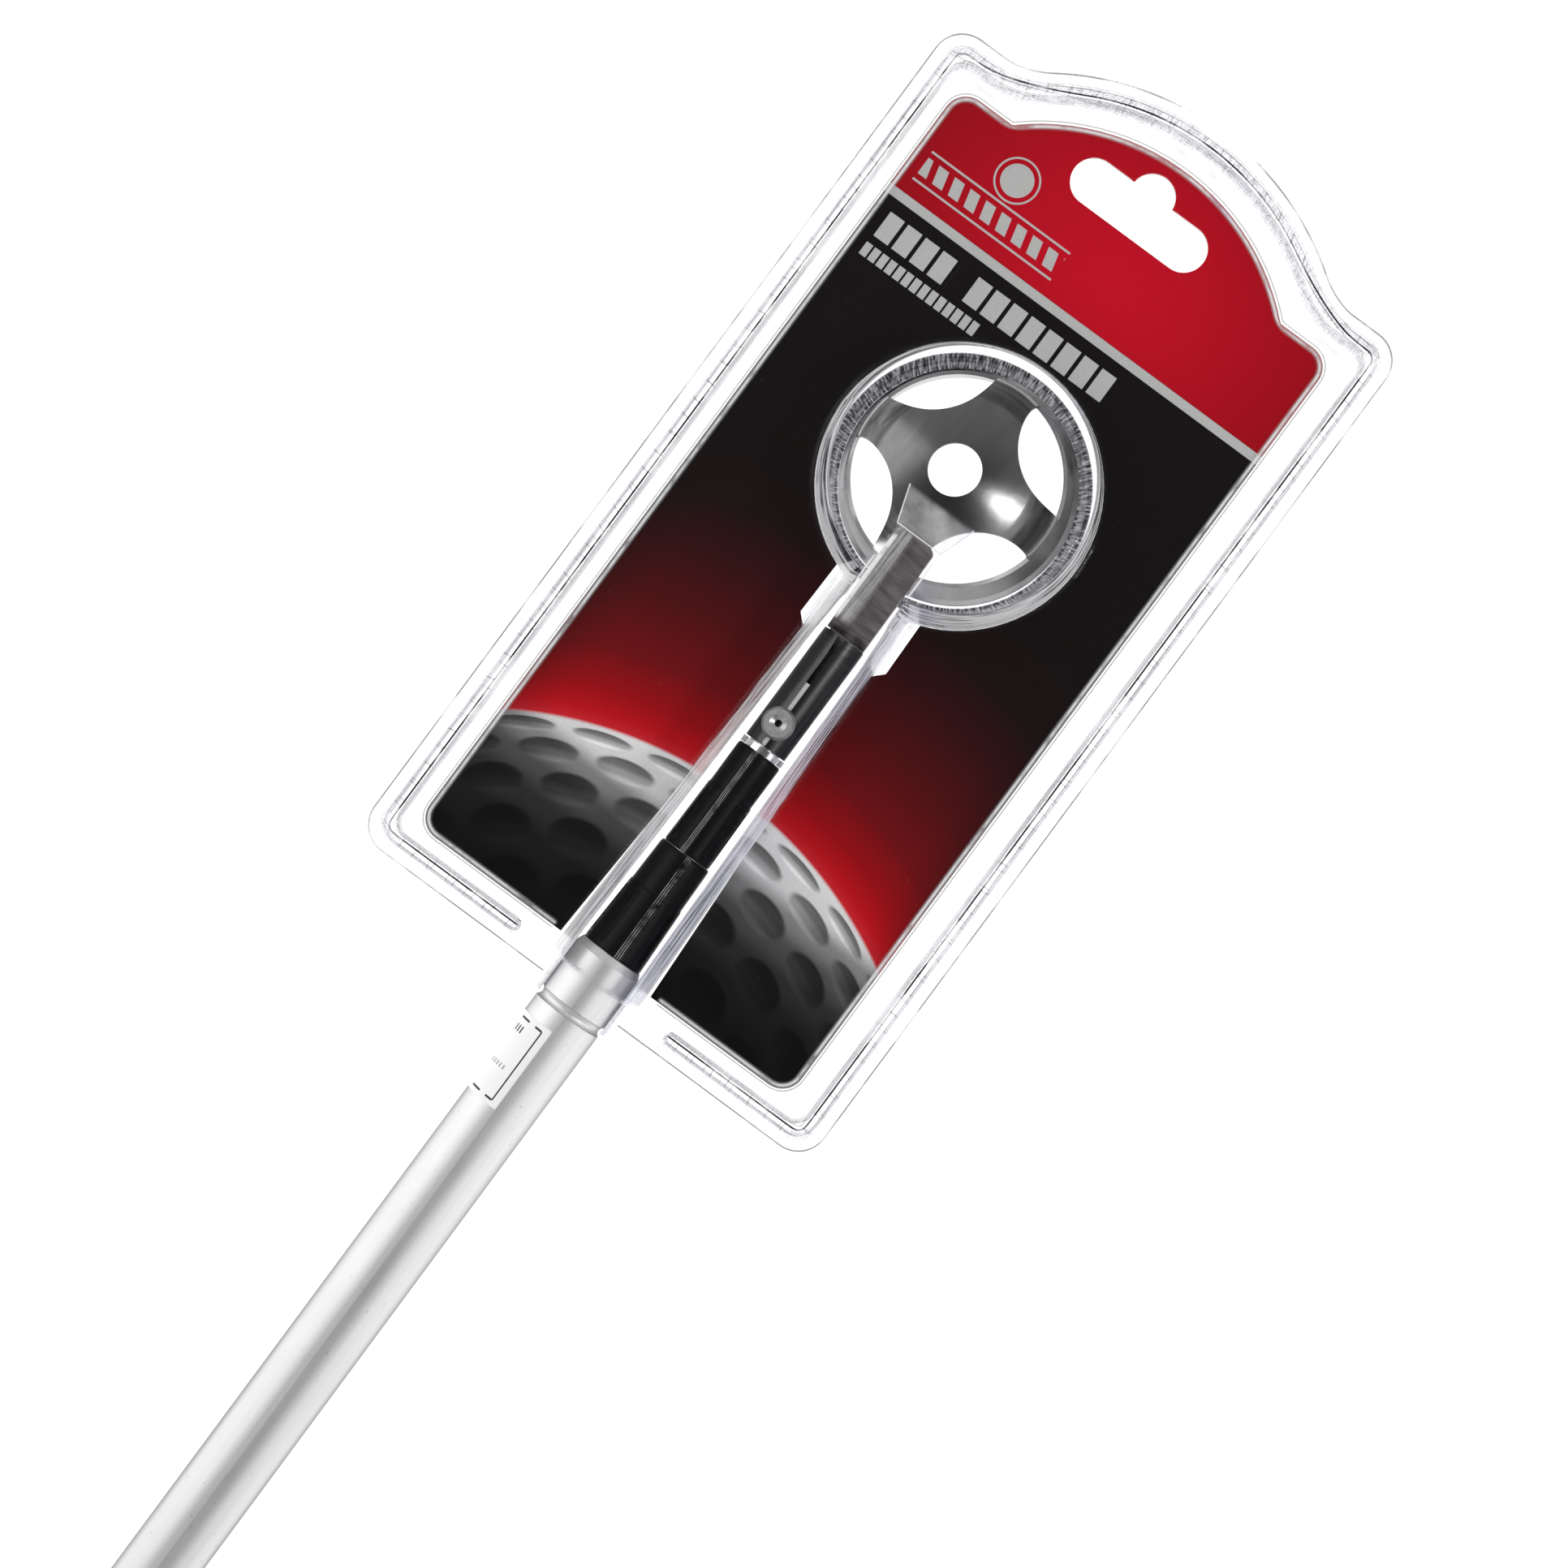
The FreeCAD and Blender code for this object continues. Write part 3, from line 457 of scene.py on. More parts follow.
def painted_nose_glare(g, cloud, lengthwise, x, station, z):
    """Painted glare in the drawn nose over the strap's end: a hazy patch and light lines along its creases,
    with a painted sheen and glint along the strap.
    """
    side = g.math("ABSOLUTE", x)
    past_fold = g.math("SUBTRACT", station, NOSE_FOLD)
    outside = g.math("SUBTRACT", side, NOSE_HALF)
    slant = g.math("MULTIPLY_ADD", past_fold, -NOSE_FLARE, outside)
    nose_glare = g.times(g.between(past_fold, 0.0, NOSE_LENGTH, 0.8), g.rise(slant, 0.3, -0.5),
                   g.math("MULTIPLY_ADD", cloud, 0.6, -0.12))
    flared = g.times(g.between(slant, -0.15, 0.15, 0.08),
                     g.between(past_fold, 0.0, NOSE_LENGTH + 0.4, 0.2))
    across = g.times(g.between(past_fold, -0.1, 0.2, 0.1), g.rise(outside, 0.2, -0.2))
    along = g.times(g.between(outside, -0.3, 0.1, 0.1), g.between(past_fold, -15.3, 0.0, 1.0),
                    g.rise(cloud, 0.45, 0.55))
    nose_glare = g.most(nose_glare, g.times(g.most(flared, across, along), 0.6))
    # painted sheen and glint along the strap's left side
    sheen = g.times(g.between(x, -4.4, -1.2, 0.9), g.math("MULTIPLY_ADD", lengthwise, 0.9, -0.28))
    glint = g.times(g.between(x, -4.6, -3.7, 0.2), g.rise(cloud, 0.38, 0.52), 0.8)
    on_strap = g.between(past_fold, -21.3, -0.1, 1.0)
    nose_glare = g.math("MAXIMUM", nose_glare, g.times(g.most(sheen, glint), on_strap), clamp=True)
    return g.times(nose_glare, g.rise(z, 17.0, 19.0))


def clear_sheet(name, back):
    """Thin vacuum-formed sheet: see-through face on, with painted white glare streaking its steep walls and
    painted shade along its bends.

    The back shell has far less painted glare, fine radial ribs on the wall of its cup pocket, and painted
    hatched shade on that wall.
    """
    made, g, shader, coords = material(name)
    facing = g.node("LayerWeight", {"Blend": 0.5}).outputs["Facing"]
    x, station, z = g.millimetres(coords)
    away = g.math("SUBTRACT", station, CUP_AT)
    radius = g.hypot(x, away)
    turn = g.math("ARCTAN2", away, x)
    ripple = g.noise(coords, 260.0, 3.0, 0.6)
    drag = g.noise(g.stretched(coords, 1, 1, 0.15), 700.0, 2.0)
    height = g.math("MULTIPLY_ADD", drag, 0.5, ripple)
    tint = g.ramp(facing, SHEET_TINT)
    lengthwise, streak = draw_streaks(g, coords, radius, turn)
    # slopes and not view angles decide where glare is painted on the sheet, so it looks alike from all
    # sides
    upright = g.node("SeparateXYZ", {0: g.node("TexCoord").outputs["Normal"]}).outputs[2]
    lean = g.math("SUBTRACT", 1.0, g.math("ABSOLUTE", upright))
    painted_glare = g.times(g.between(lean, 0.66, 0.95, 0.09), g.rise(streak, 0.42, 0.56))
    # painted shade: dark streaks on the steep walls
    painted_wall_shade = g.times(g.rise(lean, 0.55, 0.74), g.between(streak, 0.33, 0.44, 0.02), 0.65)
    dark = g.most(painted_bend_shade(g, coords, x, station, BACK_FOLDS if back else FRONT_FOLDS), painted_wall_shade)
    if back:
        wall = g.between(radius, TRAY_POCKET_FLOOR_R - 0.25, TRAY_POCKET_TOP_R + 0.65, 0.2)
        ribs = g.math("SINE", g.times(turn, 130.0))
        height = g.math("MULTIPLY_ADD", g.times(ribs, wall), 0.9, height)
        # painted shade: the ribbed pocket wall lets through only a dark hatched grey
        hatch = g.noise(g.ringed(radius, turn, 0.0002, 0.02), 2600.0, 2.0, 0.6)
        hatched_shade = g.mix(g.rise(hatch, 0.35, 0.65), (0.13, 0.13, 0.14, 1), (0.55, 0.55, 0.57, 1))
        tint = g.mix(wall, tint, hatched_shade)
        painted_glare = g.times(painted_glare, 0.15)
    else:
        cloud = g.noise(coords, 160.0, 3.0, 0.6)
        step, ledge_shade = painted_card_step(g, cloud, g.math("ABSOLUTE", x), station)
        painted_glare = g.most(painted_glare, step, painted_nose_glare(g, cloud, lengthwise, x, station, z))
        dark = g.most(dark, ledge_shade)
    # painted shade: along bends, wall streaks and the ledge, the sheet lets through only dark grey
    tint = g.mix(dark, tint, (0.07, 0.07, 0.08, 1))
    normal = g.bump(height, 0.12, 0.0002)
    wire(g, shader, Base_Color=(0.95, 0.95, 0.97, 1), Metallic=1.0, Roughness=0.07, Normal=normal)
    through = g.node("BsdfTransparent", {"Color": tint})
    mirror = g.math("MULTIPLY_ADD", g.math("POWER", facing, 5.0), 0.85, 0.006, clamp=True)
    clear = g.node("MixShader", {0: mirror, 1: through.outputs[0], 2: shader.outputs[0]})
    # painted glare: the sheet turns white where light would scatter on its walls, bluish in a band right of
    # the pole
    painted_glare_tone = g.mix(g.between(x, 6.0, 12.0, 1.5), (0.94, 0.94, 0.95, 1), (0.84, 0.84, 0.95, 1))
    white = g.node("BsdfPrincipled", {"Base Color": painted_glare_tone, "Roughness": 0.3, "Normal": normal})
    both = g.node("MixShader", {0: painted_glare, 1: clear.outputs[0], 2: white.outputs[0]})
    output = made.node_tree.nodes["Material Output"]
    g.tree.links.new(both.outputs[0], output.inputs["Surface"])
    return made


def label_paper():
    """White paper with a thin printed frame and a few generic bars.

    Places round the tube are degrees to the left of PRINT_BEARING.
    """
    made, g, shader, coords = material("label_paper")
    x, station, z = g.millimetres(coords)
    low, high = LABEL_FRAME
    turned_by = g.math("DIVIDE", g.math("SUBTRACT", g.bearing(x, z), PRINT_BEARING), 360.0)
    left = g.times(g.math("FRACT", turned_by), 360.0)
    ink = g.times(g.between(left, *FRAME_LINE, 0.3), g.between(station, low, high, 0.05))
    corners = g.math("ADD", *(g.between(left, *corner, 0.3) for corner in FRAME_CORNERS))
    for place in LABEL_FRAME:
        end = g.between(station, place - 0.22, place + 0.22, 0.05)
        ink = g.math("MULTIPLY_ADD", end, corners, ink)
    top_row = g.between(station, high - 3.0, high - 1.5, 0.05)
    top_row = g.times(top_row, g.between(left, *TOP_ROW, 0.3))
    low_row = g.between(station, high - 10.6, high - 9.6, 0.05)
    low_row = g.times(low_row, g.between(left, *LOW_ROW, 0.3), 0.6)
    bars = g.math("GREATER_THAN", g.math("FRACT", g.times(left, 0.14)), 0.55)
    ink = g.math("MULTIPLY_ADD", bars, g.math("ADD", top_row, low_row), ink, clamp=True)
    fibre = g.noise(coords, 3000.0, 3.0, 0.7)
    paper = g.mix(fibre, grey(0.96), grey(1.0))
    wire(g, shader, Base_Color=g.mix(ink, paper, grey(0.015)), Roughness=0.5,
         Normal=g.bump(fibre, 0.15, 0.00003))
    return made


def printed_ball(g, dx, ds, reach, station):
    """Dimpled ball, drawn as a sphere seen from the front and lit from above."""
    share = g.math("MINIMUM", g.math("DIVIDE", reach, BALL_R), 0.99999)
    first_row = math.pi / 2 - BALL_RIM
    row_at = g.math("DIVIDE", g.math("SUBTRACT", first_row, g.math("ARCSINE", share)), DIMPLE_PITCH)
    row = g.math("FLOOR", row_at)
    across = g.times(g.math("SUBTRACT", g.math("SUBTRACT", row_at, row), 0.5), 2.0)
    row_tilt = g.math("SUBTRACT", first_row, g.times(g.math("ADD", row, 0.5), DIMPLE_PITCH))
    count = g.times(g.math("SINE", row_tilt), 2 * math.pi / (DIMPLE_PITCH * 1.06))
    heading = g.math("DIVIDE", g.math("ARCTAN2", dx, ds), 2 * math.pi)
    every_other = g.math("FRACT", g.times(row, 0.5))
    column = g.math("MULTIPLY_ADD", heading, g.math("ROUND", count), every_other)
    side = g.math("SUBTRACT", g.math("FRACT", g.math("ADD", column, 100.3)), 0.5)
    size = g.hypot(across, g.times(side, 2.1))
    hollow = g.times(g.rise(size, 0.92, 0.70), g.math("GREATER_THAN", row, -0.5))
    lit = g.ramp(g.math("DIVIDE", station, 42.0), [
        (0.0, 0.004), (0.2, 0.010), (0.36, 0.028), (0.5, 0.085), (0.62, 0.26), (0.74, 0.80),
        (0.95, 0.97),
    ], "EASE")
    shade = g.ramp(g.math("MULTIPLY_ADD", across, 0.5, 0.5), [
        (0.05, 0.14), (0.35, 0.26), (0.62, 0.62), (0.86, 1.35), (1.0, 1.2),
    ], "EASE")
    return g.mix(1.0, lit, g.mix(hollow, grey(1), shade), "MULTIPLY")


def red_glow(g, x, reach):
    """Glow that fades from the ball's edge to black, weaker towards the card's sides."""
    glow = g.ramp(g.math("DIVIDE", g.math("SUBTRACT", reach, BALL_R), 70.0), [
        (0.0, 0.68, 0.020, 0.032), (0.035, 0.58, 0.004, 0.011), (0.10, 0.39, 0.002, 0.006),
        (0.22, 0.19, 0.003, 0.006), (0.38, 0.10, 0.003, 0.005), (0.56, 0.040, 0.003, 0.004),
        (0.72, 0.011, 0.003, 0.004), (1.0, 0.006, 0.004, 0.004),
    ])
    edge_fall = g.rise(g.math("ABSOLUTE", x), 50.0, 36.0)
    return g.mix(g.math("MULTIPLY_ADD", edge_fall, 0.45, 0.55), (0.005, 0.003, 0.003, 1), glow)


def silver_ink(g, x, station):
    """Dividing line, generic bars, two rules and a ringed disc, with no lettering."""

    def boxed(x0, x1, s0, s1):
        return g.times(g.between(x, x0, x1, PRINT_SOFT), g.between(station, s0, s1, PRINT_SOFT))

    def barred(box, pitch, share):
        from_start = g.math("SUBTRACT", x, box[0])
        return g.times(boxed(*box), g.bars(from_start, pitch, share))

    ink = g.between(station, *SILVER_LINE, PRINT_SOFT)
    gap = g.math("SUBTRACT", 1.0, g.between(x, *WORD_GAP, 0.02))
    slanted = g.bars(g.math("MULTIPLY_ADD", station, 0.25, x), 3.9, 0.62)
    from_disc = g.hypot(g.math("SUBTRACT", x, DISC_AT[0]), g.math("SUBTRACT", station, DISC_AT[1]))
    shapes = (
        g.times(barred(TITLE_BARS, 4.4, 0.80), gap),
        barred(SMALL_BARS, 2.05, 0.78),
        g.times(boxed(*SLANTED_BARS), slanted),
        boxed(*LOW_RULE),
        boxed(*HIGH_RULE),
        g.rise(from_disc, DISC_R, DISC_R - 0.1),
        g.between(from_disc, *DISC_RING, 0.05),
    )
    for shape in shapes:
        ink = g.math("ADD", ink, shape, clamp=True)
    return ink


def card_print():
    """Red top over a silver line, then black with a red glow above a dimpled ball's edge."""
    made, g, shader, coords = material("card_print")
    x, station, _ = g.millimetres(coords)
    dx = g.math("SUBTRACT", x, BALL_AT[0])
    ds = g.math("SUBTRACT", station, BALL_AT[1])
    reach = g.hypot(dx, ds)
    ball_edge = g.rise(g.math("SUBTRACT", BALL_R, reach), -0.15, 0.75)
    lower = g.mix(ball_edge, red_glow(g, x, reach), printed_ball(g, dx, ds, reach, station))
    spread = g.hypot(g.times(x, 0.8), g.math("SUBTRACT", station, 167.0))
    red = g.ramp(g.math("DIVIDE", spread, 48.0), [
        (0.0, 0.66, 0.003, 0.021), (0.35, 0.57, 0.002, 0.015), (0.65, 0.44, 0.001, 0.010),
        (1.0, 0.31, 0.001, 0.006),
    ])
    colour = g.mix(g.rise(station, SILVER_LINE[1] - 0.05, SILVER_LINE[1] + 0.15), lower, red)
    colour = g.mix(silver_ink(g, x, station), colour, (0.56, 0.56, 0.55, 1))
    dust = g.rise(g.noise(coords, 1400.0, 1.0), 0.80, 0.86)
    colour = g.mix(g.times(dust, 0.22), colour, grey(0.35))
    grain = g.ramp(g.noise(coords, 5000.0, 2.0), [(0.3, 0.3), (0.7, 1.7)])
    colour = g.mix(0.12, colour, g.mix(1.0, colour, grain, "MULTIPLY"))
    # the board is plain grey at its cut edge and underneath
    z_up = g.node("SeparateXYZ", {0: g.node("NewGeometry").outputs["Normal"]}).outputs[2]
    colour = g.mix(g.rise(z_up, 0.4, 0.6), (0.72, 0.71, 0.68, 1), colour)
    wire(g, shader, Base_Color=colour, Roughness=0.32, Specular_IOR_Level=0.2,
         Normal=g.bump(g.noise(coords, 180.0, 2.0), 0.05, 0.0002))
    return made


# --- Clear shells -----------------------------------------------------------------------------
def round_union(a, b, radius):
    """Union of two fields with a hollow fillet."""
    corner = np.hypot(np.maximum(radius - a, 0), np.maximum(radius - b, 0))
    return np.maximum(radius, np.minimum(a, b)) - corner


def round_overlap(a, b, radius):
    """Overlap of two fields with a rounded edge."""
    corner = np.hypot(np.maximum(radius + a, 0), np.maximum(radius + b, 0))
    return np.minimum(-radius, np.maximum(a, b)) + corner


def arched(x, s, half, bottom, shoulder, top, arch_r, corner, fillet):
    """Distance to a plate's outline with an arch between two shoulders: negative inside."""
    qx = np.abs(x) - (half - corner)
    qs = np.abs(s - (bottom + shoulder) / 2) - ((shoulder - bottom) / 2 - corner)
    outside = np.hypot(np.maximum(qx, 0), np.maximum(qs, 0))
    block = outside + np.minimum(np.maximum(qx, qs), 0) - corner
    disc = np.hypot(x, s - (top - arch_r)) - arch_r
    # the arch meets its shoulder at an obtuse corner, which a quarter of the radius fills as far
    return round_union(block, np.maximum(disc, shoulder - 8 - s), 0.25 * fillet)


def outline(x, s, inset):
    """The pack's arched outline moved in by inset: negative inside."""
    return arched(x, s, PACK_HALF - inset, PACK_BOTTOM + inset, SHOULDER - inset, PACK_TOP - inset,
                  ARCH_R - inset, max(PACK_CORNER - 0.6 * inset, 3.4), PACK_FILLET + 0.5 * inset)


def slot_field(x, s):
    """The hook slot: a round-ended bar with a bump on its upper side, negative inside."""
    dx = x - SLOT[0]
    reach = SLOT_HALF_LENGTH - SLOT_HALF_WIDTH
    bar = np.hypot(np.maximum(np.abs(dx) - reach, 0), s - SLOT[1]) - SLOT_HALF_WIDTH
    bump = np.hypot(dx, np.where(s < BUMP_AT, 0.0, s - BUMP_AT)) - BUMP_R
    return round_union(bar, np.maximum(bump, SLOT[1] - s), 1.2)


def bead_field(x, s, grow):
    """Plan of the perimeter bead, which stops each side of the pole."""
    ring = np.maximum(outline(x, s, BEAD[0] - grow), -outline(x, s, BEAD[1] + grow))
    gap = np.maximum(np.abs(x) - (BEAD_GAP - grow), s + 1.0)
    return round_overlap(ring, -gap, 1.3)


def lofted(x, s, z, sections, round_top, round_end):
    """Straight-sided tunnel through (station, foot half, roof half, roof height) sections."""
    stations, feet, roofs, heights = (np.array(column) for column in zip(*sections))
    foot, half, roof = (np.interp(s, stations, row) for row in (feet, roofs, heights))
    slope = (foot - half) / (roof - TRAY_TOP)
    side = (np.abs(x) - (foot - slope * (z - TRAY_TOP))) / np.sqrt(1 + slope ** 2)
    bar = round_overlap(side, z - roof, round_top)
    ends = np.maximum(stations[0] - s, s - stations[-1])
    return round_overlap(bar, ends, round_end)


def front_field(x, s, z):
    """Front shell's upper surface: flange, bead, raised panel, pocket, tunnel, nose and collar."""
    bead = round_overlap(bead_field(x, s, 0.0), z - BEAD_TOP, 1.0)
    field = round_union(z - FLANGE_TOP, bead, 0.6)
    leg = np.maximum(np.abs(x) - LEG_HALF, s - 10.0)
    panel = round_union(outline(x, s, PANEL_INSET), leg, 4.0)
    field = round_union(field, round_overlap(panel, z - PANEL_TOP, 0.45), 0.3)
    slope = (POCKET_FOOT_R - POCKET_ROOF_R) / (POCKET_ROOF - TRAY_TOP)
    wall = np.hypot(x, s - CUP_AT) - (POCKET_FOOT_R - slope * (z - TRAY_TOP))
    pocket = round_overlap(wall / math.sqrt(1 + slope ** 2), z - POCKET_ROOF, 1.8)
    field = round_union(field, pocket, 0.9)
    field = round_union(field, lofted(x, s, z, TUNNEL, 1.6, 1.0), 0.9)
    field = round_union(field, lofted(x, s, z, NOSE, 1.2, 1.2), 0.7)
    tube = np.hypot(x, np.maximum(z - AXIS_Z, 0)) - COLLAR_R
    return round_union(field, round_overlap(tube, s - COLLAR_TO, 0.8), 0.8)


def front_plan(x, s):
    """Plan of the front sheet: pack and collar, less the hook slot."""
    apron = np.maximum(np.abs(x) - COLLAR_R - 0.5, np.maximum(COLLAR_FROM - s, s))
    return np.maximum(np.minimum(outline(x, s, 0.0), apron), -slot_field(x, s))


def back_field(x, s, z):
    """Back shell's upper surface: flat, with the bead channel, cup pocket and neck recess."""
    channel = round_overlap(bead_field(x, s, -SHEET), SHEET - z, 0.7)
    field = round_overlap(z - TRAY_TOP, -channel, 0.6)
    slope = (TRAY_POCKET_TOP_R - TRAY_POCKET_FLOOR_R) / (TRAY_TOP - SHEET)
    wall = np.hypot(x, s - CUP_AT) - (TRAY_POCKET_TOP_R - slope * (TRAY_TOP - z))
    pocket = round_overlap(wall, SHEET - z, 1.2)
    recess = np.maximum(np.abs(x) - RECESS_HALF, np.maximum(RECESS[0] - s, s - RECESS[1]))
    recess = round_overlap(recess, TRAY_TOP - RECESS_DEPTH + SHEET - z, 0.8)
    return round_overlap(field, -round_union(pocket, recess, 0.8), 0.8)


def back_plan(x, s):
    return np.maximum(outline(x, s, 0.0), -slot_field(x, s))


def gradient(field, points):
    """Unit direction in which a field grows, at each point."""
    small = 0.02
    columns = []
    for axis in range(3):
        step = np.zeros(3)
        step[axis] = small
        columns.append(field(*(points + step).T) - field(*(points - step).T))
    slope = np.stack(columns, axis=1) / (2 * small)
    return slope / np.maximum(np.linalg.norm(slope, axis=1, keepdims=True), 1e-6)


def surface_net(field, low, high, step):
    """Quads over the zero level of a field, with their points moved onto it."""
    axes = [np.arange(a, b + step, step) for a, b in zip(low, high)]
    x, s, z = np.meshgrid(*axes, indexing="ij", sparse=True)
    values = np.broadcast_to(field(x, s, z), [len(a) for a in axes])
    inside = values < 0
    cells = tuple(n - 1 for n in values.shape)
    corners = [(i, j, k) for i in (0, 1) for j in (0, 1) for k in (0, 1)]

    def corner(array, offset):
        return array[tuple(slice(o, o + n) for o, n in zip(offset, cells))]

    count = sum(corner(inside, c).astype(np.int8) for c in corners)
    mixed = (count > 0) & (count < 8)
    index = np.full(cells, -1)
    index[mixed] = np.arange(mixed.sum())
    base = np.argwhere(mixed)
    total = np.zeros((len(base), 3))
    hits = np.zeros(len(base))
    for a in corners:
        for b in corners:
            if sum(b) - sum(a) != 1 or sum(abs(p - q) for p, q in zip(a, b)) != 1:
                continue
            fa = values[tuple((base + a).T)]
            fb = values[tuple((base + b).T)]
            cross = (fa < 0) != (fb < 0)
            share = np.where(cross, fa / np.where(cross, fa - fb, 1), 0)
            place = base + np.array(a) + share[:, None] * (np.array(b) - np.array(a))
            total += np.where(cross[:, None], place, 0)
            hits += cross
    points = np.array(low) + step * total / hits[:, None]
    for _ in range(4):
        normal = gradient(field, points)
        points = points - normal * np.clip(field(*points.T), -0.4 * step, 0.4 * step)[:, None]
    quads = []
    for axis in range(3):
        u, v = (axis + 1) % 3, (axis + 2) % 3
        first = [slice(None)] * 3
        second = [slice(None)] * 3
        first[axis] = slice(0, -1)
        second[axis] = slice(1, None)
        change = inside[tuple(first)] != inside[tuple(second)]
        spot = np.argwhere(change)
        for across in (u, v):
            spot = spot[(spot[:, across] > 0) & (spot[:, across] < cells[across])]
        ring = []
        for du, dv in ((-1, -1), (0, -1), (0, 0), (-1, 0)):
            cell = spot.copy()
            cell[:, u] += du
            cell[:, v] += dv
            ring.append(index[tuple(cell.T)])
        ring = np.stack(ring, axis=1)
        leaves = inside[tuple(spot.T)]
        quads.append(np.where(leaves[:, None], ring, ring[:, ::-1]))
    return points, np.concatenate(quads)


def trimmed(points, quads, plan):
    """Keeps the quads inside a plan and moves the cut edge's points onto its outline."""
    middle = points[quads].mean(axis=1)
    quads = quads[plan(middle[:, 0], middle[:, 1]) < 0]
    used, quads = np.unique(quads, return_inverse=True)
    quads = quads.reshape(-1, 4)
    points = points[used]
    edges = open_edges(quads)
    rim = np.unique(edges)
    small = 0.02
    for _ in range(3):
        x, s = points[rim, 0], points[rim, 1]
        gap = plan(x, s)
        gx = (plan(x + small, s) - plan(x - small, s)) / (2 * small)
        gs = (plan(x, s + small) - plan(x, s - small)) / (2 * small)
        size = np.maximum(gx ** 2 + gs ** 2, 0.2)
        points[rim, 0] -= np.clip(gap * gx / size, -0.5, 0.5)
        points[rim, 1] -= np.clip(gap * gs / size, -0.5, 0.5)
    return points, quads, edges


def open_edges(quads):
    """Directed edges that belong to one quad only."""
    pairs = np.concatenate([quads[:, (i, (i + 1) % 4)] for i in range(4)])
    keys = np.sort(pairs, axis=1)
    _, inverse, counts = np.unique(keys, axis=0, return_inverse=True, return_counts=True)
    return pairs[counts[inverse.ravel()] == 1]


def clear_shell(name, field, plan, low, high, finish):
    """A formed sheet of even thickness under a surface, as one closed mesh."""
    points, quads = surface_net(field, low, high, NET_STEP)
    points, quads, edges = trimmed(points, quads, plan)
    normals = gradient(field, points)
    under = points - normals * SHEET
    count = len(points)
    rim = np.stack([edges[:, 1], edges[:, 0], edges[:, 0] + count, edges[:, 1] + count], axis=1)
    faces = np.concatenate([quads, quads[:, ::-1] + count, rim])
    verts = np.concatenate([points, under])
    verts = verts * MM + np.array([0, MOUTH_Y, 0])
    mesh = bpy.data.meshes.new(name)
    mesh.from_pydata(verts.tolist(), [], faces.tolist())
    mesh.update()
    mesh.polygons.foreach_set("use_smooth", np.ones(len(faces), dtype=bool))
    both = np.concatenate([normals, -normals])
    loops = both[faces.ravel()]
    flat = np.array([tuple(p.normal) for p in mesh.polygons[len(faces) - len(rim):]])
    loops[-4 * len(rim):] = np.repeat(flat, 4, axis=0)
    mesh.normals_split_custom_set(loops.tolist())
    x, s = points[:, 0], points[:, 1]
    distances = {"inset": -outline(x, s, 0.0), "card_edge": -arched(x - CARD_X, s, **CARD)}
    for title, distance in distances.items():
        layer = mesh.attributes.new(title, "FLOAT", "POINT")
        layer.data.foreach_set("value", np.tile(distance, 2).astype(np.float32))
    mesh.materials.append(finish)
    piece = bpy.data.objects.new(name, mesh)
    bpy.context.scene.collection.objects.link(piece)
    return piece


# --- Turned pieces ----------------------------------------------------------------------------
def turned(name, rings, segments, finish, radius=None):
    """Closed turned piece about the pole's axis from (station, radius) points in order.

    radius(station, r, angle) may change the radius to cut ribs or flutes.
    """
    angles = np.linspace(0, 2 * math.pi, segments, endpoint=False)
    verts = []
    for s, r in rings:
        reach = radius(s, r, angles) if radius else np.full(segments, r)
        column = [reach * np.cos(angles), np.full(segments, s), reach * np.sin(angles) + AXIS_Z]
        verts.append(np.stack(column, axis=1))
    verts = np.concatenate(verts) * MM + np.array([0, MOUTH_Y, 0])
    faces = []
    total = len(rings)
    for i in range(total):
        a, b = i * segments, (i + 1) % total * segments
        for j in range(segments):
            k = (j + 1) % segments
            faces.append((a + j, b + j, b + k, a + k))
    mesh = bpy.data.meshes.new(name)
    mesh.from_pydata(verts.tolist(), [], faces)
    mesh.update()
    mesh.polygons.foreach_set("use_smooth", np.ones(len(faces), dtype=bool))
    mesh.set_sharp_from_angle(angle=math.radians(38))
    mesh.materials.append(finish)
    piece = bpy.data.objects.new(name, mesh)
    bpy.context.scene.collection.objects.link(piece)
    return piece


def ferrule(name, node, radii, tube_r, bore, finish, turn):
    """Moulded ferrule: foot rim, fluted lower part, step, plain collar with a rounded mouth."""
    foot, top = (corner.y / MM - MOUTH_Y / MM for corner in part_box(node))
    step = foot + FLUTED
    low, high = radii

    def taper(s):
        return low + (high - low) * (s - foot) / (top - foot)

    at_step = taper(step)
    outside = [(foot, low - 0.25), (foot + 0.15, low - 0.06), (foot + 0.5, low)]
    outside += [(foot + 1.0, taper(foot + 1))]
    outside += [(s, taper(s)) for s in np.linspace(foot + 1.2, step - 0.6, 26)]
    outside += [(step - 0.3, at_step + 0.02), (step, at_step - 0.05)]
    outside += [(step + 0.2, at_step - STEP_DROP)]
    for s in np.linspace(step + 0.6, top - 0.8, 8):
        outside.append((s, taper(s) - STEP_DROP * (top - s) / (top - step)))
    outside += [(top - 0.35, high - 0.05), (top - 0.1, high - 0.2), (top, high - 0.4)]
    seat = foot + SEAT
    inside = [(top, bore + 0.15), (top - 0.2, bore), (seat, bore), (seat, tube_r), (foot, tube_r)]

    def fluted(s, r, angles):
        reach = np.full(len(angles), float(r))
        if r <= tube_r + 0.05 or not foot + 1.4 < s < step - 1.0:
            return reach
        flute = 2 * math.pi / FLUTES
        nearest = np.abs((angles - turn + flute / 2) % flute - flute / 2) * r
        ends = min(1.0, (s - foot - 1.4) / 0.6, (step - 1.0 - s) / 0.6)
        return reach - FLUTE_DEPTH * ends * np.clip((FLUTE_HALF - nearest) / 0.25, 0, 1)

    piece = turned(name, outside + inside, 240, finish, fluted)
    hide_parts(node)
    return piece


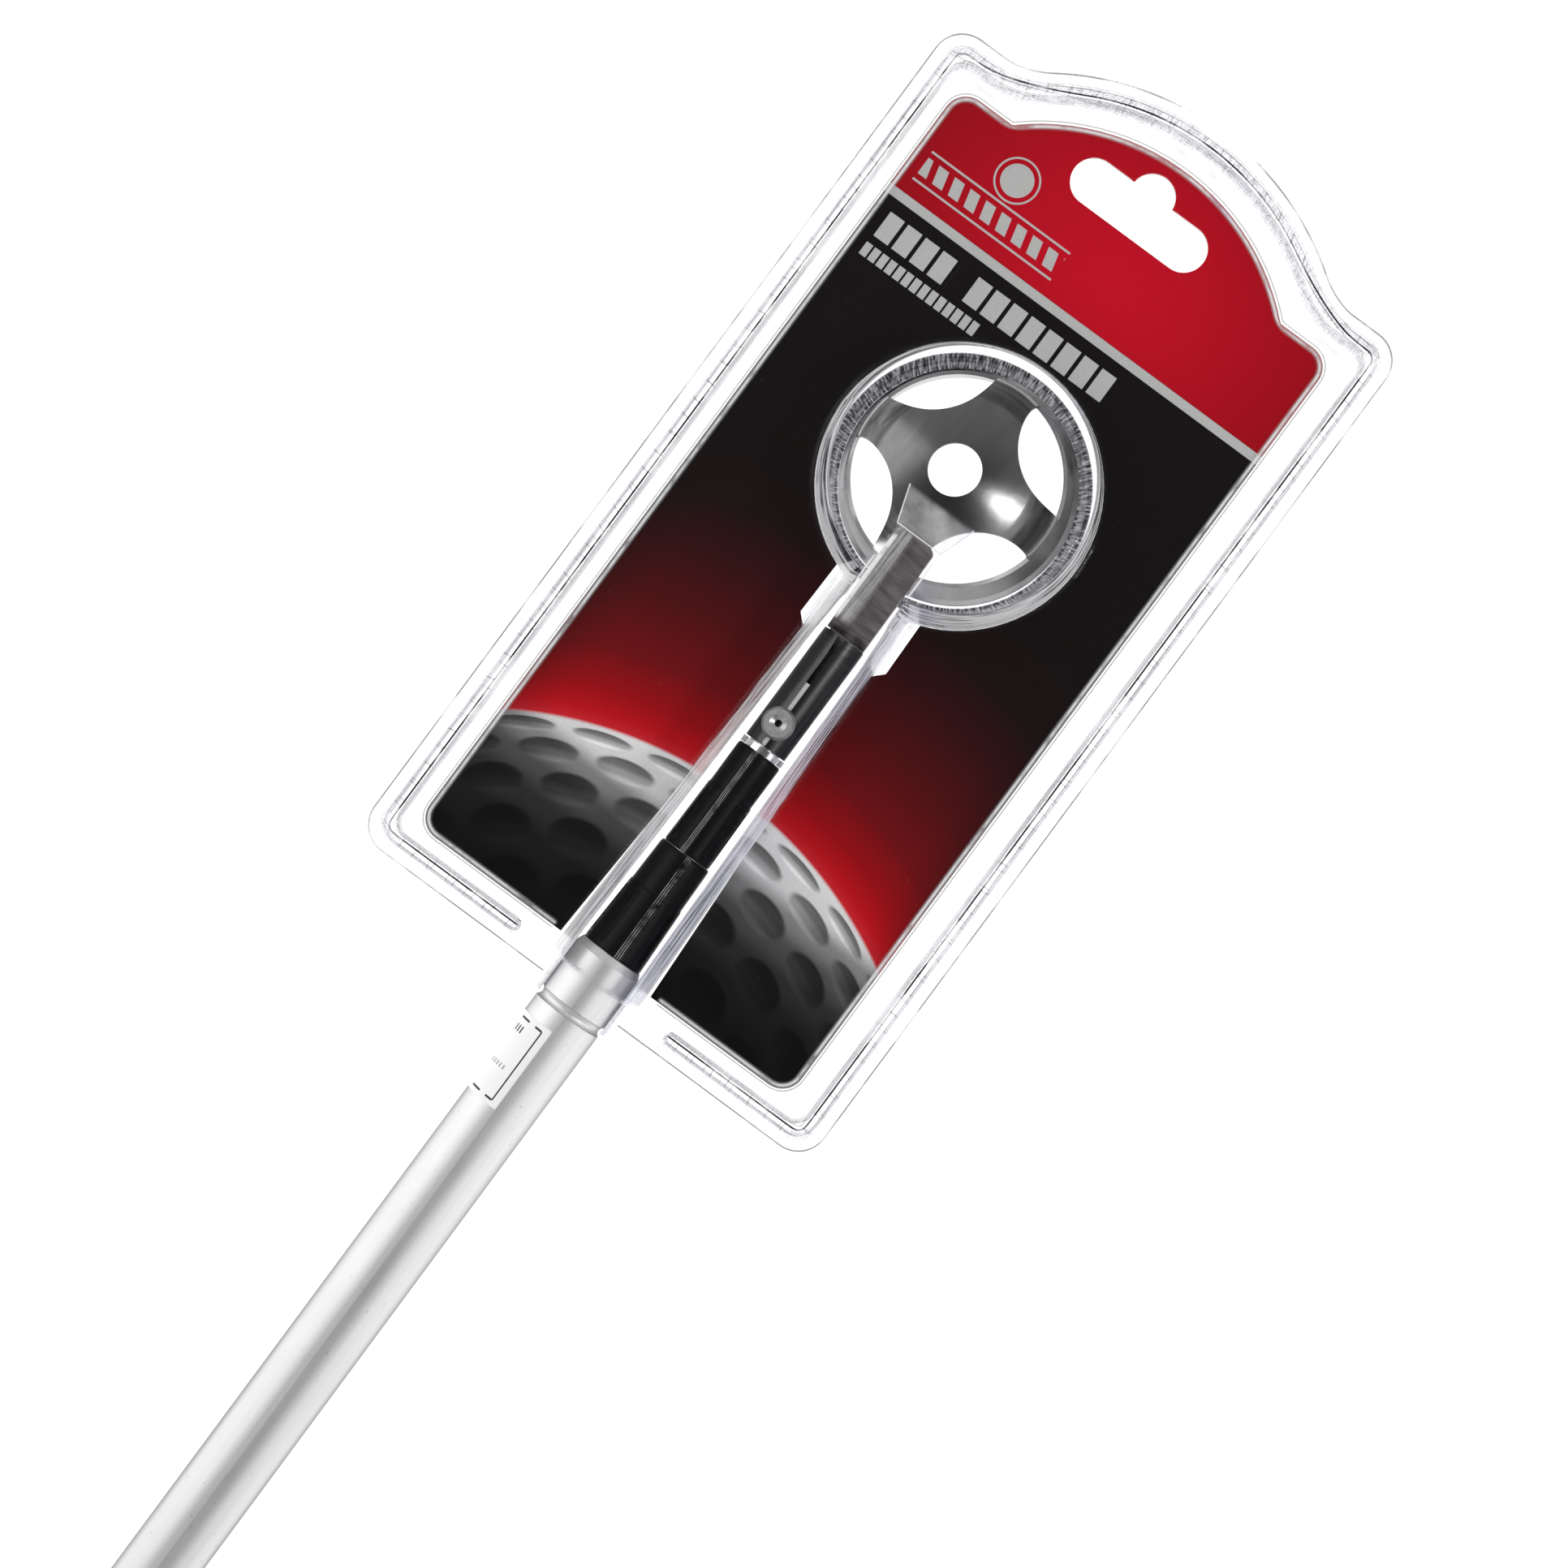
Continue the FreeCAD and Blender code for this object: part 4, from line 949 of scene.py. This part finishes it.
# --- Stage ------------------------------------------------------------------------------------
def build_stage():
    """A pale floor that glows softly, under a studio sky that is darkest straight above."""
    row = FLOOR_CELLS + 1
    lines = np.linspace(-FLOOR_HALF, FLOOR_HALF, row)
    place = [(x, y, -FLOOR_DROP) for y in lines for x in lines]
    faces = []
    for j in range(FLOOR_CELLS):
        for i in range(FLOOR_CELLS):
            first = j * row + i
            faces.append((first, first + 1, first + row + 1, first + row))
    mesh = bpy.data.meshes.new("floor")
    mesh.from_pydata(place, [], faces)
    floor = bpy.data.objects.new("floor", mesh)
    bpy.context.scene.collection.objects.link(floor)
    made, g, shader, coords = material("pale_floor")
    tone = g.mix(g.noise(coords, 8.0, 2.0), grey(0.40), grey(0.42))
    wire(g, shader, Base_Color=tone, Roughness=0.9, Specular_IOR_Level=0.1,
         Emission_Color=grey(1), Emission_Strength=1.0)
    mesh.materials.append(made)

    world = bpy.data.worlds.new("studio")
    bpy.context.scene.world = world
    world.use_nodes = True
    g = Graph(world.node_tree)
    direction = g.node("TexCoord").outputs["Generated"]
    cap = g.node("VectorMath", {0: direction, 1: (0.22, 0.0, 0.975)}, operation="DOT_PRODUCT")
    tone = g.ramp(cap.outputs["Value"], [
        (0.0, 0.70), (0.50, 0.72), (0.76, 0.52), (0.90, 0.20), (0.965, 0.11), (1.0, 0.10),
    ])
    wire(g, world.node_tree.nodes["Background"], Color=tone, Strength=1.0)


def softbox(name, place, across, along, power):
    """Oblong lamp turned towards the middle of the pack; places in metres, power in watts."""
    light = bpy.data.lights.new(name, "AREA")
    light.shape = "RECTANGLE"
    light.size = across
    light.size_y = along
    light.energy = power
    lamp = bpy.data.objects.new(name, light)
    lamp.location = place
    aim = Vector(PACK_MIDDLE) - Vector(place)
    lamp.rotation_euler = aim.to_track_quat("-Z", "Y").to_euler()
    bpy.context.scene.collection.objects.link(lamp)


def build_camera():
    """Camera straight above the pack, turned so that the pole runs down to the left."""
    data = bpy.data.cameras.new("camera")
    data.lens = 74.5
    data.sensor_width = 36.0
    data.clip_start = 0.01
    camera = bpy.data.objects.new("camera", data)
    camera.location = (0.0073, 0.301, 0.656)
    camera.rotation_euler = (0.0, 0.0, math.radians(36.5))
    bpy.context.scene.collection.objects.link(camera)
    bpy.context.scene.camera = camera


build_camera()
build_stage()
softbox("left_softbox", (-1.8, 0.3, 1.05), 1.4, 3.0, 18)
softbox("right_softbox", (2.0, 0.35, 0.75), 1.2, 3.0, 10)
softbox("key_strip", (0.72, 0.58, 0.93), 0.15, 0.22, 2.8)
bpy.context.scene.view_settings.view_transform = "Standard"
bpy.context.scene.cycles.transparent_max_bounces = 32

# --- Finishes on CAD nodes --------------------------------------------------------------------
# Scales that stretch a metal's grain along the pole, across it or not at all
LENGTHWISE = (1, 0.02, 1)
CROSSWISE = (0.03, 1, 1)
EVEN = (1, 1, 1)
# the satin tube's colour is painted darker towards its edges, as shade
drawn = brushed_metal("satin_aluminium", grey(0.76), grey(0.68), 0.50, 500.0, LENGTHWISE,
                      strength=0.10, wear=0.25, edge=0.5)
inner = brushed_metal("inner_aluminium", grey(0.80), grey(0.72), 0.28, 500.0, LENGTHWISE, 0.15)
finishes = {
    "outer_tube": drawn,
    "second_tube": inner,
    "third_tube": inner,
    "inner_tube": inner,
    "neck_ring": brushed_metal("bright_ring", grey(0.92), grey(0.86), 0.14, 300.0, EVEN, 0.05),
    "neck_sleeve": rolled_sleeve(),
    "neck_rivet": brushed_metal("rivet_metal", grey(0.50), grey(0.36), 0.34, 900.0, EVEN, 0.1),
    "strap": brushed_metal("strap_steel", (0.26, 0.235, 0.235, 1), (0.13, 0.115, 0.115, 1),
                           0.34, 900.0, CROSSWISE, 0.35),
    "cup": polished_cup(),
    "tube_label": label_paper(),
    "card": card_print(),
}
grip_rubber = rubber("grip_rubber")
for node in ("grip", "butt_cap"):
    finishes[node] = grip_rubber
nylon = moulded_plastic("bush_plastic", (0.10, 0.10, 0.105), 0.45)
plug_plastic = moulded_plastic("plug_plastic", (0.90, 0.90, 0.90), 0.30)
ring_rubber = moulded_plastic("friction_rubber", (0.03, 0.03, 0.03), 0.7)
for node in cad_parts:
    if node.endswith("_ring") and node != "neck_ring":
        finishes[node] = ring_rubber
    elif node.endswith(("_slider", "_bush", "_plug")):
        finishes[node] = nylon
finishes["neck_plug"] = plug_plastic
for node, finish in finishes.items():
    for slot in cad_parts[node].material_slots:
        slot.material = finish

# --- Pieces that stand for CAD nodes ----------------------------------------------------------
front = clear_shell("clear_front", front_field, front_plan, *FRONT_GRID,
                    clear_sheet("front_sheet", back=False))
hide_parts("front_blister")
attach(front, "front_cover")
back = clear_shell("clear_back", back_field, back_plan, *BACK_GRID,
                   clear_sheet("back_sheet", back=True))
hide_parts("back_blister")
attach(back, "back_tray")

# name, node, body, radii at foot and mouth, tube radius, bore, bearing of the ribbed flute with its painted
# highlight
for title, node, body, radii, tube_r, bore, bearing in (
    ("foot_ferrule", "second_ferrule", "second_section", (6.65, 5.7), 5.8, 4.78, 78.0),
    ("neck_ferrule", "third_ferrule", "third_section", (5.3, 4.95), 4.7, 3.58, 100.0),
):
    black = moulded_plastic(title + "_plastic", (0.004, 0.004, 0.005), 0.36, 0.12, bearing)
    piece = ferrule(title, node, radii, tube_r, bore, black, math.radians(bearing))
    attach(piece, body)
